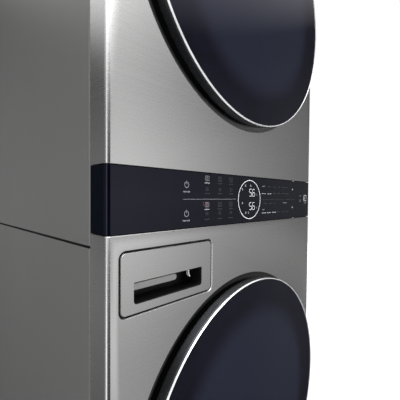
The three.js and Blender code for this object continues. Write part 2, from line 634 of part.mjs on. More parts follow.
function drainPump() {
  const body = cut(
    turnedY([
      [0, PUMP_Y[0]], [44, PUMP_Y[0]], [44, -240], [34, -230], [34, PUMP_Y[1]], [0, PUMP_Y[1]],
    ], FLAP_X, FLAP_Z, MEDIUM),
    cylinderY(30, [PUMP_Y[0] - 1, -240], FLAP_X, FLAP_Z, MEDIUM),
  );
  const foot = box([FLAP_X - 30, FLAP_X + 30], [-300, -210], [BASE_PLATE_Z[1] + GAP, FLAP_Z - 32]);
  place('drain_pump', join(body, foot), greyPlastic);

  const knob = turnedY([
    [0, -330], [36, -330], [36, PUMP_Y[0] - 1], [28, PUMP_Y[0] - 1], [28, -260], [0, -260],
  ], FLAP_X, FLAP_Z, MEDIUM);
  const bar = box([FLAP_X - 4, FLAP_X + 4], [-342, -329], [FLAP_Z - 28, FLAP_Z + 28]);
  place('pump_filter', join(knob, bar), darkPlastic);

  const outline = roundedRectangle(FLAP_X, FLAP_Z, FLAP_SIZE, FLAP_SIZE, FLAP_R);
  const flap = slabXZ(outline, [FRONT_Y, FRONT_Y + 2.5], 4);
  const lowEdge = FLAP_Z - FLAP_SIZE / 2;
  const barrel = cut(
    box([FLAP_X - 45, FLAP_X + 45], [FRONT_Y + 1, FRONT_Y + 6], [lowEdge + 1, lowEdge + 6]),
    box([FLAP_X - 25, FLAP_X + 25], [FRONT_Y + 2.5, FRONT_Y + 7], [lowEdge, lowEdge + 7]),
  );
  place('pump_flap', join(flap, barrel), brushedSteel);
}

// ---- Washer tub, drum and motor -----------------------------------------------------------------

const TUB_FRONT = -256;
const TUB_BACK = 262;
const HUB_BACK = 290;
const BEARING_R = 32;

function tub() {
  const front = turnedY([
    [199, TUB_FRONT - 8], [204, TUB_FRONT - 8], [204, TUB_FRONT], [TUB_R, TUB_FRONT], [TUB_R, -10],
    [SPLIT_FLANGE_R, -10], [SPLIT_FLANGE_R, -2], [TUB_R - TUB_WALL, -2],
    [TUB_R - TUB_WALL, TUB_FRONT + TUB_WALL], [199, TUB_FRONT + TUB_WALL],
  ], 0, WASHER_Z, ROUND);
  place('tub_front', front, whitePlastic);

  const shell = turnedY([
    [TUB_R - TUB_WALL, -2 + GAP], [SPLIT_FLANGE_R, -2 + GAP], [SPLIT_FLANGE_R, 8], [TUB_R, 8],
    [TUB_R, TUB_BACK], [HUB_R, TUB_BACK], [HUB_R, HUB_BACK],
    [BEARING_R, HUB_BACK], [BEARING_R, 252], [HUB_R, 252],
    [HUB_R, TUB_BACK - TUB_WALL], [TUB_R - TUB_WALL, TUB_BACK - TUB_WALL],
  ], 0, WASHER_Z, ROUND);
  const y = [SUSPENSION_Y - 12, SUSPENSION_Y + 12];
  const springLug = box([255, SPRING_X + 12], y, [LUG_Z - 10, LUG_Z]);
  const damperLug = box([DAMPER_X - 10, DAMPER_X + 10], y, [282, 303]);
  const lugs = [springLug, mirrorX(springLug), damperLug, mirrorX(damperLug)];
  place('tub_rear', join(shell, ...lugs), whitePlastic);
}

// A concrete ring bolted to the tub's face round the mouth, open beside the door lock.
function counterweight() {
  const [r0, r1] = [222, 288];
  const gap = THREE.MathUtils.degToRad(22);
  const shape = new THREE.Shape();
  shape.absarc(0, WASHER_Z, r1, gap, 2 * Math.PI - gap);
  shape.absarc(0, WASHER_Z, r0, 2 * Math.PI - gap, gap, true);
  shape.closePath();
  place('counterweight', slabXZ(shape, [TUB_FRONT - GAP - 38, TUB_FRONT - GAP], 28), castConcrete);
}

// A paddle of folded sheet standing inside a drum, with its crest towards the drum's axis.
function paddle(foot, [halfFoot, halfCrest], height, halfLength, turn, axisZ) {
  const t = 1.5;
  const crest = height - foot;
  const shape = polygon([
    [-halfFoot, -foot], [-halfCrest, crest], [halfCrest, crest], [halfFoot, -foot],
    [halfFoot - 2 * t, -foot], [halfCrest - t, crest - t],
    [t - halfCrest, crest - t], [2 * t - halfFoot, -foot],
  ]);
  const geometry = new THREE.ExtrudeGeometry(shape, { depth: 2 * halfLength, bevelEnabled: false });
  geometry.rotateX(Math.PI / 2).translate(0, halfLength, 0).rotateY(turn).translate(0, 0, axisZ);
  return solid(geometry);
}

const THIRDS = [0, 1, 2].map((k) => k * 2 * Math.PI / 3);

// The basket, with three paddles riveted inside it.
function washerDrum() {
  const wall = SHEET;
  const back = DRUM_HALF;
  const basket = turnedY([
    [0, back], [DRUM_R, back], [DRUM_R, -back], [192, -back - 8], [192, -back - 8 + wall],
    [DRUM_R - wall, -back + wall], [DRUM_R - wall, back - wall], [0, back - wall],
  ], 0, WASHER_Z, ROUND);
  const paddles = THIRDS.map((turn) => paddle(DRUM_R - 3, [28, 12], 46, 195, turn, WASHER_Z));
  place('washer_drum', join(basket, ...paddles), stainless);
}

function drumDrive() {
  const plateY = DRUM_HALF + GAP;
  const shaft = turnedY([
    [0, plateY], [120, plateY], [120, plateY + 5], [36, plateY + 11], [SHAFT_R, plateY + 11],
    [SHAFT_R, 322], [0, 322],
  ], 0, WASHER_Z, MEDIUM);
  place('drum_shaft', shaft, castAluminium);

  const bearing = turnedY([
    [SHAFT_R + GAP, 254], [BEARING_R - 0.6, 254],
    [BEARING_R - 0.6, HUB_BACK - 2], [SHAFT_R + GAP, HUB_BACK - 2],
  ], 0, WASHER_Z, MEDIUM);
  place('drum_bearing', bearing, stainless);

  const [coreY, coreR] = [[TUB_BACK + GAP, 286], 118];
  const stator = turnedY([
    [HUB_R + 2, coreY[0]], [coreR, coreY[0]], [coreR, coreY[1]], [HUB_R + 2, coreY[1]],
  ], 0, WASHER_Z, ROUND);
  place('motor_stator', stator, copper);

  const rotor = turnedY([
    [124, 267], [130, 267], [130, 306], [SHAFT_R + GAP, 306],
    [SHAFT_R + GAP, 298], [40, 298], [40, 302], [124, 302],
  ], 0, WASHER_Z, ROUND);
  place('motor_rotor', rotor, zincSteel);
}

// A ring of rubber from the dish's lip back to the tub's neck.
function doorGasket() {
  const bellows = turnedY([
    [197, FRONT_Y + 6], [197, FRONT_Y + 26], [209, FRONT_Y + 42], [209, FRONT_Y + 70], [198.4, FRONT_Y + 86],
    [198.4, FRONT_Y + 96], [192, FRONT_Y + 96], [192, FRONT_Y + 84], [202, FRONT_Y + 68], [202, FRONT_Y + 44],
    [186, FRONT_Y + 14], [188, FRONT_Y + 6],
  ], 0, WASHER_Z, ROUND);
  place('door_gasket', bellows, rubber);
}

class Helix extends THREE.Curve {
  constructor(x, y, radius, [z0, z1], turns) {
    super();
    Object.assign(this, { x, y, radius, z0, z1, turns });
  }

  getPoint(t, target = new THREE.Vector3()) {
    const angle = 2 * Math.PI * this.turns * t;
    const z = THREE.MathUtils.lerp(this.z0, this.z1, t);
    return target.set(this.x + this.radius * Math.cos(angle), this.y + this.radius * Math.sin(angle), z);
  }
}

function suspension() {
  const [wire, turns, stepsPerTurn] = [2.6, 5, 8];
  const section = new THREE.Shape().absarc(0, 0, wire, 0, 2 * Math.PI);
  const spring = (x) => {
    const path = new Helix(x, SUSPENSION_Y, 11, [LUG_Z + wire + 1, HOOK_Z - wire - 1], turns);
    const steps = turns * stepsPerTurn;
    return solid(new THREE.ExtrudeGeometry(section, { extrudePath: path, steps, curveSegments: 2 }));
  };

  const floor = BASE_PLATE_Z[1] + GAP;
  const cylinder = (x) => turnedZ([
    [0, floor], [9, floor], [9, 40], [17, 40], [17, 205], [13.5, 205], [13.5, 46], [0, 46],
  ], x, SUSPENSION_Y, SMALL);

  const rodTop = 282 - GAP;
  const rod = (x) => turnedZ([
    [0, 70], [12.5, 70], [12.5, 92], [6, 92], [6, 262], [9, 262], [9, rodTop], [0, rodTop],
  ], x, SUSPENSION_Y, SMALL);
  for (const [side, sign] of [['left', -1], ['right', 1]]) {
    place(`suspension_spring_${side}`, spring(sign * SPRING_X), zincSteel);
    place(`damper_cylinder_${side}`, cylinder(sign * DAMPER_X), darkPlastic);
    place(`damper_rod_${side}`, rod(sign * DAMPER_X), zincSteel);
  }
}

function waterInletValve() {
  const bodyY = [312, CABINET_BACK_Y - SHEET - 1];
  const body = box([VALVE_XS[0] - 20, VALVE_XS[1] + 20], bodyY, [VALVE_Z - 20, VALVE_Z + 20]);
  const stubs = VALVE_XS.map((x) => cylinderY(VALVE_STUB_R, [340, BACK_Y], x, VALVE_Z, SMALL));
  const bores = VALVE_XS.map((x) => cylinderY(9, [350, BACK_Y + 1], x, VALVE_Z, SMALL));
  place('water_inlet_valve', cut(join(body, ...stubs), ...bores), whitePlastic);
}

// ---- Dryer drum, belt, blower and ducts ---------------------------------------------------------

function dryerDrum() {
  const wall = SHEET;
  const shell = turnedY([
    [DRYER_DRUM_R, DRYER_DRUM_FRONT], [DRYER_DRUM_R, DRYER_DRUM_BACK],
    [DRYER_DRUM_R - wall, DRYER_DRUM_BACK], [DRYER_DRUM_R - wall, DRYER_DRUM_FRONT],
  ], 0, DRYER_Z, ROUND);
  const foot = DRYER_DRUM_R - 3.5;
  const paddles = THIRDS.map((turn) => paddle(foot, [26, 9], 50, 250, turn + Math.PI / 3, DRYER_Z));
  place('dryer_drum', join(shell, ...paddles), stainless);
}

// The fixed back wall of the drum, with the heater's box behind it.
function dryerRearBulkhead() {
  const ringR = 303;
  const face = DRYER_DRUM_BACK + 4;
  const wall = turnedY([
    [0, face], [ringR, face], [ringR, 282], [ringR + 7, 282], [ringR + 7, face],
    [335, face], [335, face + SHEET], [0, face + SHEET],
  ], 0, DRYER_Z, ROUND);
  const heater = cut(
    box([-190, 190], [face + SHEET / 2, 348], [DRYER_Z - 120, DRYER_Z + 120]),
    box([SHEET - 190, 190 - SHEET], [face - 1, 348 - SHEET], [DRYER_Z - 120 + SHEET, DRYER_Z + 120 - SHEET]),
  );
  const vent = (x) => box([x - 45, x + 45], [face - 1, face + 3], [DRYER_Z - 80, DRYER_Z + 80]);
  const vents = [vent(-120), vent(0), vent(120)];
  place('dryer_rear_bulkhead', join(cut(wall, ...vents), heater), zincSteel);
}

const BELT_SPAN = DRYER_Z - MOTOR_Z;
const beltLine = (offset) => {
  const [big, small] = [DRYER_DRUM_R + BELT_CLEAR + offset, PULLEY_R + BELT_CLEAR + offset];
  const lean = Math.acos((big - small) / BELT_SPAN);
  const down = -Math.PI / 2;
  return { big, small, lean, down };
};

function beltPath(offset) {
  const { big, small, lean, down } = beltLine(offset);
  const path = new THREE.Shape();
  path.absarc(0, DRYER_Z, big, down + lean, down - lean + 2 * Math.PI);
  path.absarc(0, MOTOR_Z, small, down - lean, down + lean);
  path.closePath();
  return path;
}

function belt() {
  const loop = beltPath(BELT_T);
  loop.holes.push(beltPath(0));
  place('drum_belt', slabXZ(loop, [BELT_Y, BELT_Y + BELT_W], 13), blackRubber);
}

// The idler runs on the outside of the belt's left side, a third of the way up from the motor.
function idlerPlace() {
  const { big, small, lean, down } = beltLine(BELT_T);
  const normal = new THREE.Vector2(Math.cos(down - lean), Math.sin(down - lean));
  const low = new THREE.Vector2(0, MOTOR_Z).addScaledVector(normal, small);
  const high = new THREE.Vector2(0, DRYER_Z).addScaledVector(normal, big);
  return low.lerp(high, 0.3).addScaledVector(normal, IDLER_R + GAP);
}

const MOTOR_Y = [-190, -72];
const MOTOR_R = 60;

function dryerMotor() {
  const idler = idlerPlace();
  const motor = cut(
    cylinderY(MOTOR_R, MOTOR_Y, 0, MOTOR_Z, MEDIUM),
    cylinderY(9.5, [MOTOR_Y[0] - 1, MOTOR_Y[1] + 1], 0, MOTOR_Z, MEDIUM),
  );
  const foot = box([-45, 45], [-175, -95], [964 + GAP, MOTOR_Z - 40]);
  const armZ = [MOTOR_Z + 18, Math.max(idler.y + 12, MOTOR_Z + 40)];
  const arm = box([idler.x - 12, 12], [MOTOR_Y[1] - 1, MOTOR_Y[1] + 5], armZ);
  const axle = cylinderY(IDLER_AXLE_R, [MOTOR_Y[1] + 4, BELT_Y + BELT_W + 3], idler.x, idler.y, SMALL);
  place('dryer_motor', join(motor, foot, arm, axle), castAluminium);

  const pulleyY = [BELT_Y - 3, BELT_Y + BELT_W + 3];
  const wheel = turnedY([
    [0, -222], [58, -222], [58, -254], [66, -254], [66, -218], [8, -218], [8, MOTOR_Y[1] + 8],
    [6, MOTOR_Y[1] + 8], [6, pulleyY[0]], [PULLEY_R, pulleyY[0]], [PULLEY_R, pulleyY[1]],
    [6, pulleyY[1]], [6, pulleyY[1] + 5], [0, pulleyY[1] + 5],
  ], 0, MOTOR_Z, MEDIUM);
  place('blower_wheel', wheel, darkPlastic);

  const roller = (x, z, r, bore, [y0, y1]) => {
    const section = [[bore, y0], [r, y0], [r, y1], [bore, y1]];
    return turnedY(section, x, z, MEDIUM);
  };
  const idlerY = [BELT_Y - 2, BELT_Y + BELT_W + 2];
  place('idler_pulley', roller(idler.x, idler.y, IDLER_R, IDLER_AXLE_R + BORE_CLEAR, idlerY), whitePlastic);
  const bore = ROLLER_AXLE_R + BORE_CLEAR;
  place('drum_roller_left', roller(-ROLLER_X, ROLLER_Z, ROLLER_R, bore, ROLLER_Y), blackRubber);
  place('drum_roller_right', roller(ROLLER_X, ROLLER_Z, ROLLER_R, bore, ROLLER_Y), blackRubber);
}

const BLOWER_Y = [-262, -198];
const NECK_Y = [-250, -212];
const NECK_Z = [1008, 1052];

// The lint channel under the loading mouth and the round blower case behind it.
function blowerHousing() {
  const wall = 2.5;
  const upper = box([-84, 84], [LINT_Y - 18, LINT_Y + 18], [1100, 1300]);
  const lower = box([-84, 84], [-299, BLOWER_Y[0]], [985, 1165]);
  const scroll = cylinderY(85, BLOWER_Y, 0, MOTOR_Z, ROUND);
  const outlet = box([60, 96], NECK_Y, NECK_Z);
  const hollow = [
    box([-81, 81], [LINT_Y - 15, LINT_Y + 15], [1097, 1301]),
    box([-81, 81], [-296, BLOWER_Y[0] - wall], [988, 1162]),
    cylinderY(50, [BLOWER_Y[0] - wall - 1, BLOWER_Y[0] + wall + 1], 0, MOTOR_Z, MEDIUM),
    cylinderY(82, [BLOWER_Y[0] + wall, BLOWER_Y[1] - wall], 0, MOTOR_Z, ROUND),
    cylinderY(14, [BLOWER_Y[1] - wall - 1, BLOWER_Y[1] + 1], 0, MOTOR_Z, SMALL),
    box([60, 97], [NECK_Y[0] + wall, NECK_Y[1] - wall], [NECK_Z[0] + wall, NECK_Z[1] - wall]),
  ];
  place('blower_housing', cut(join(upper, lower, scroll, outlet), ...hollow), whitePlastic);
}

function exhaustDuct() {
  const wall = 1.5;
  const front = NECK_Y[0] - 8;
  const pipe = cylinderY(DUCT_R, [front, BACK_Y], DUCT_X, DUCT_Z, MEDIUM);
  const neck = box([96 + GAP, DUCT_X], NECK_Y, NECK_Z);
  const hollow = [
    cylinderY(DUCT_R - wall, [front + wall, BACK_Y + 1], DUCT_X, DUCT_Z, MEDIUM),
    box([95, DUCT_X], [NECK_Y[0] + wall, NECK_Y[1] - wall], [NECK_Z[0] + wall, NECK_Z[1] - wall]),
  ];
  place('exhaust_duct', cut(join(pipe, neck), ...hollow), zincSteel);
}

function lintFilter() {
  const y = [LINT_Y - 9, LINT_Y + 9];
  const z = [1112, DRYER_Z - MOUTH_R + 8];
  const window = (from, to) => box([5 - LINT_HALF, LINT_HALF - 5], [from, to], [z[0] + 6, z[1] - 20]);
  const body = box([-LINT_HALF, LINT_HALF], y, z);
  const frame = cut(body, window(y[0] - 1, LINT_Y - 1), window(LINT_Y + 1, y[1] + 1));
  const fingerNotch = box([-30, 30], [LINT_Y - 5, LINT_Y + 5], [z[1] - 12, z[1] + 1]);
  place('lint_filter', cut(frame, fingerNotch), darkPlastic);
}

// ---- The whole machine --------------------------------------------------------------------------

levellingFeet();
baseFrame();
washerCabinet();
dryerCabinet();
rearCovers();
topCover();
frontPanels();
controlPanel();
doors();
washerDoorSurround();
dryerFrontBulkhead();
drawer();
drainPump();
tub();
counterweight();
washerDrum();
drumDrive();
doorGasket();
suspension();
waterInletValve();
dryerDrum();
dryerRearBulkhead();
belt();
dryerMotor();
blowerHousing();
exhaustDuct();
lintFilter();

export default machine;
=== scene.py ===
import json
from math import cos, hypot, pi, radians, sin, tan

import bmesh
import bpy
from mathutils import Matrix, Vector


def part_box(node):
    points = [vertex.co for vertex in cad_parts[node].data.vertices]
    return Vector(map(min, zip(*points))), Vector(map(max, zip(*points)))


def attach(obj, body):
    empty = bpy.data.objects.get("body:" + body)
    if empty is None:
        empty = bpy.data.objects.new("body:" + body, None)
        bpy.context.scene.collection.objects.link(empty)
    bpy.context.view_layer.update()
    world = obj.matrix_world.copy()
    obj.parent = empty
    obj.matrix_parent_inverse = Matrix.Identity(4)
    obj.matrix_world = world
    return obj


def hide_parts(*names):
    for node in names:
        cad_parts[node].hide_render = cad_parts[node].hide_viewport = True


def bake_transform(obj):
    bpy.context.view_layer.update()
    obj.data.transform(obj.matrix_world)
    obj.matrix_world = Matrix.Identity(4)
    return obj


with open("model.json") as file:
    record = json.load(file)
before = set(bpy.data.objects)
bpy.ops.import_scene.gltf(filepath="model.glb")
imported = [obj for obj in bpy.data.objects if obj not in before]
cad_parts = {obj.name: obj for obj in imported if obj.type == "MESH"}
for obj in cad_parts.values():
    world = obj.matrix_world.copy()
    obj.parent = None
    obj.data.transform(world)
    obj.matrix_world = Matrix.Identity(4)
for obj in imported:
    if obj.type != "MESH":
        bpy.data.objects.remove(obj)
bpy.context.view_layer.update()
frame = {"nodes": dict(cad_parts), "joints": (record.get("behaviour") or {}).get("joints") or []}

MM = 0.001
FULL = 2 * pi
STEPS = 144  # sides of a large round shape
SHARP = radians(35)  # edges that turn more than this stay sharp
BEVEL_FROM = radians(40)  # edges that turn more than this are rounded
scene = bpy.context.scene


class Box:
    """A CAD node's box at rest, in millimetres."""

    def __init__(self, node):
        low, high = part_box(node)
        self.x0, self.y0, self.z0 = low / MM
        self.x1, self.y1, self.z1 = high / MM
        self.x, self.y, self.z = (low + high) / (2 * MM)
        self.half = (self.x1 - self.x0) / 2
        self.xs, self.ys, self.zs = (self.x0, self.x1), (self.y0, self.y1), (self.z0, self.z1)


panel = Box("control_glass")
housing = Box("control_housing")
washer_front = Box("washer_front_panel")
dryer_front = Box("dryer_front_panel")
HALF_WIDTH = washer_front.half
FRONT_Y = panel.y0
PANEL_Z = panel.z
WASHER_Z = Box("washer_door_glass").z
DRYER_Z = Box("dryer_door_glass").z
DOOR_R = Box("washer_door_frame").half
DOOR_FACE = Box("washer_door_frame").y0
CORNER_R = 7.5  # upright corners of the fronts
OPENING_R = DOOR_R + 7  # round opening of the steel behind a door
LIP_R = 2  # the steel's roll into each door's dish
FRONT_T = 4  # thickness of the steel fronts


def about(middle, half):
    return middle - half, middle + half


def inset(span, by):
    return span[0] + by, span[1] - by


# ---- Meshes -------------------------------------------------------------------------------------

def add_mesh(name, verts, faces):
    """A smooth-shaded object of points in millimetres."""
    mesh = bpy.data.meshes.new(name)
    mesh.from_pydata([Vector(v) * MM for v in verts], [], faces)
    return clean(mesh, name)


def clean(mesh, name):
    """An object of a mesh whose double points are joined and whose sharp edges stay sharp."""
    bm = bmesh.new()
    bm.from_mesh(mesh)
    bmesh.ops.remove_doubles(bm, verts=bm.verts, dist=1e-6)
    bmesh.ops.dissolve_degenerate(bm, edges=bm.edges, dist=1e-7)
    bmesh.ops.recalc_face_normals(bm, faces=bm.faces)
    bm.to_mesh(mesh)
    bm.free()
    mesh.polygons.foreach_set("use_smooth", [True] * len(mesh.polygons))
    mesh.set_sharp_from_angle(angle=SHARP)
    piece = bpy.data.objects.new(name, mesh)
    scene.collection.objects.link(piece)
    return piece


def circle(cx, cy, r, steps):
    angles = [FULL * k / steps for k in range(steps)]
    return [(cx + r * cos(a), cy + r * sin(a)) for a in angles]


def arc(cx, cy, r, start, end, steps=6):
    """Points on a circle from one angle to another, in degrees."""
    angles = [radians(start + (end - start) * k / steps) for k in range(steps + 1)]
    return [(cx + r * cos(a), cy + r * sin(a)) for a in angles]


def rounded(cx, cy, width, height, r, steps=6):
    """A rectangle with rounded corners."""
    w, h = width / 2 - r, height / 2 - r
    corners = [(w, h, 0), (-w, h, 90), (-w, -h, 180), (w, -h, 270)]
    return [p for x, y, a in corners for p in arc(cx + x, cy + y, r, a, a + 90, steps)]


def fillet(profile, steps=4):
    """A closed outline whose points may carry a radius: (a, b) stays sharp, (a, b, r) is rounded."""
    out = []
    for k, point in enumerate(profile):
        here = Vector(point[:2])
        if len(point) == 2:
            out.append(tuple(here))
            continue
        before = (Vector(profile[k - 1][:2]) - here).normalized()
        after = (Vector(profile[(k + 1) % len(profile)][:2]) - here).normalized()
        half = before.angle(after) / 2
        reach = point[2] / tan(half)
        start, end = here + before * reach, here + after * reach
        centre = here + (before + after).normalized() * point[2] / sin(half)
        for i in range(steps + 1):
            spoke = (start - centre).lerp(end - centre, i / steps).normalized()
            out.append(tuple(centre + spoke * point[2]))
    return out


def lathe(name, profile, z, x=0.0, steps=STEPS, axis="y", y=0.0):
    """A closed profile of (radius, height) points turned about a line along Y or Z."""
    n = len(profile)
    verts = []
    for k in range(steps):
        c, s = cos(FULL * k / steps), sin(FULL * k / steps)
        for r, h in profile:
            verts.append((x + r * c, h, z + r * s) if axis == "y" else (x + r * c, y + r * s, h))
    faces = [
        (k * n + j, k * n + (j + 1) % n, (k + 1) % steps * n + (j + 1) % n, (k + 1) % steps * n + j)
        for k in range(steps) for j in range(n)
    ]
    return add_mesh(name, verts, faces)


def prism(name, outline, span, axis="y"):
    """An outline in the two other directions, made solid along an axis."""
    return loft(name, [(outline, level) for level in span], axis)


def loft(name, rings, axis="y"):
    """A solid through outlines that stand at successive levels along an axis."""
    place = {
        "x": lambda a, b, t: (t, a, b),
        "y": lambda a, b, t: (a, t, b),
        "z": lambda a, b, t: (a, b, t),
    }[axis]
    n = len(rings[0][0])
    last = (len(rings) - 1) * n
    verts = [place(a, b, level) for outline, level in rings for a, b in outline]
    faces = [tuple(range(n)), tuple(range(last + n - 1, last - 1, -1))]
    faces += [
        (i + k, i + (k + 1) % n, i + n + (k + 1) % n, i + n + k)
        for i in range(0, last, n) for k in range(n)
    ]
    return add_mesh(name, verts, faces)


def block(name, x, y, z):
    """A box between two values in each direction."""
    return prism(name, [(x[0], z[0]), (x[1], z[0]), (x[1], z[1]), (x[0], z[1])], y)


def rod(name, r, y, x, z, steps=32):
    """A round rod along Y."""
    return lathe(name, [(0, y[0]), (r, y[0]), (r, y[1]), (0, y[1])], z, x, steps)


def rod_x(name, r, span, y, z, steps=24):
    return prism(name, circle(y, z, r, steps), span, "x")


def rod_z(name, r, span, x, y, steps=6):
    return prism(name, circle(x, y, r, steps), span, "z")


def tube(name, points, r):
    """A round bar along a smooth line of points."""
    curve = bpy.data.curves.new(name, "CURVE")
    curve.dimensions = "3D"
    curve.bevel_depth = r * MM
    curve.bevel_resolution = 3
    curve.use_fill_caps = True
    spline = curve.splines.new("POLY")
    spline.points.add(len(points) - 1)
    for point, place in zip(spline.points, points):
        point.co = (*(Vector(place) * MM), 1)
    holder = bpy.data.objects.new(name, curve)
    scene.collection.objects.link(holder)
    return baked(holder)


def baked(piece):
    """The piece as a plain mesh with its modifiers applied, in place of the first object."""
    bpy.context.view_layer.update()
    evaluated = piece.evaluated_get(bpy.context.evaluated_depsgraph_get())
    mesh = bpy.data.meshes.new_from_object(evaluated)
    name = piece.name
    bpy.data.objects.remove(piece)
    mesh.name = name
    return clean(mesh, name)


def carve(piece, *cutters):
    """The piece with the cutters taken out of it."""
    for cutter in cutters:
        step = piece.modifiers.new("cut", "BOOLEAN")
        step.solver = "EXACT"
        step.operation = "DIFFERENCE"
        step.object = cutter
    result = baked(piece)
    for cutter in cutters:
        bpy.data.objects.remove(cutter)
    return result


def merged(name, *pieces):
    """Several pieces as one object."""
    bm = bmesh.new()
    for piece in pieces:
        bm.from_mesh(piece.data)
        bpy.data.objects.remove(piece)
    mesh = bpy.data.meshes.new(name)
    bm.to_mesh(mesh)
    bm.free()
    return clean(mesh, name)


def soften(piece, width, segments):
    """Rounds the piece's edges."""
    edge = piece.modifiers.new("edge", "BEVEL")
    edge.width = width * MM
    edge.segments = segments
    edge.limit_method = "ANGLE"
    edge.angle_limit = BEVEL_FROM
    edge.harden_normals = True


# ---- Materials ----------------------------------------------------------------------------------

def add_node(tree, kind, inputs, **settings):
    """A shader node with its settings made, and its inputs set to values or linked to sockets."""
    node = tree.nodes.new("ShaderNode" + kind)
    for name, value in settings.items():
        setattr(node, name, value)
    for key, value in inputs.items():
        if isinstance(value, bpy.types.NodeSocket):
            tree.links.new(value, node.inputs[key])
        else:
            node.inputs[key].default_value = value
    return node


EVEN = (1, 1, 1)  # grain that isn't stretched


class Look:
    """A procedural material: a stretched grain and soft blotches vary colour, roughness and bump."""

    def __init__(self, name, colour, rough, metal):
        self.material = bpy.data.materials.new(name)
        self.material.use_nodes = True
        self.tree = self.material.node_tree
        self.shader = self.tree.nodes["Principled BSDF"]
        self.set(Metallic=metal)
        self.place = add_node(self.tree, "TexCoord", {}).outputs["Object"]
        self.colour = colour
        self.rough = rough

    def noise(self, stretch, scale, detail):
        place = add_node(self.tree, "Mapping", {"Vector": self.place, "Scale": stretch}).outputs[0]
        settings = {"Vector": place, "Scale": scale, "Detail": detail}
        return add_node(self.tree, "TexNoise", settings).outputs["Fac"]

    def spread(self, source, low, high, start=0.3, end=0.7, kind="LINEAR"):
        """A value that runs from low to high while the source runs from start to end."""
        ends = {"Value": source, "From Min": start, "From Max": end, "To Min": low, "To Max": high}
        return add_node(self.tree, "MapRange", ends, interpolation_type=kind).outputs["Result"]

    def blend(self, factor, first, second):
        """A mix of two colours. Sockets 6 and 7 are the node's colour inputs, and 2 is its output."""
        inputs = {"Factor": factor, 6: first, 7: (*second, 1)}
        return add_node(self.tree, "Mix", inputs, data_type="RGBA").outputs[2]

    def paint(self, colour):
        self.tree.links.new(colour, self.shader.inputs["Base Color"])

    def grain(self, stretch, scale, tint, rough, bump, depth):
        """Fine grain in all three, and large soft blotches in colour and roughness."""
        fine = self.noise(stretch, scale, 3.0)
        broad = self.noise(EVEN, 3.0, 2.0)
        darker = [c * (1 - tint) for c in self.colour]
        lighter = [min(1.0, c * (1 + tint)) for c in self.colour]
        coloured = self.blend(self.spread(fine, 0, 1), (*darker, 1), lighter)
        self.base = self.blend(self.spread(broad, 0, 0.35), coloured, darker)
        self.paint(self.base)
        mixed = add_node(self.tree, "Math", {
            0: self.spread(fine, self.rough - rough, self.rough + rough),
            1: self.spread(broad, -rough / 2, rough / 2),
        }, operation="ADD")
        self.tree.links.new(mixed.outputs[0], self.shader.inputs["Roughness"])
        relief = add_node(self.tree, "Bump", {"Strength": bump, "Distance": depth, "Height": fine})
        self.tree.links.new(relief.outputs["Normal"], self.shader.inputs["Normal"])
        return self

    def edge_wear_and_highlight(self, lighter, amount):
        """Edges made lighter, partly as wear and partly as a painted highlight."""
        edge = add_node(self.tree, "NewGeometry", {}).outputs["Pointiness"]
        self.paint(self.blend(self.spread(edge, 0, amount, 0.52, 0.62), self.base, lighter))

    def paint_centre_light_and_shade(self, tint, height, full, gone):
        """Painted light and shade: another colour near the Y axis at a height, from a radius to another one
        in metres.
        """
        flat = add_node(self.tree, "VectorMath", {0: self.place, 1: (1, 0, 1)}, operation="MULTIPLY")
        centre = (0, 0, height * MM)
        apart = add_node(self.tree, "VectorMath", {0: flat.outputs[0], 1: centre}, operation="DISTANCE")
        fade = self.spread(apart.outputs["Value"], 1, 0, full, gone, "SMOOTHSTEP")
        self.paint(self.blend(fade, self.base, tint))

    def set(self, **values):
        for key, value in values.items():
            self.shader.inputs[key.replace("_", " ")].default_value = value


NAVY = (0.77, 0.76, 1.0, 1)  # tint of what the dark glass reflects
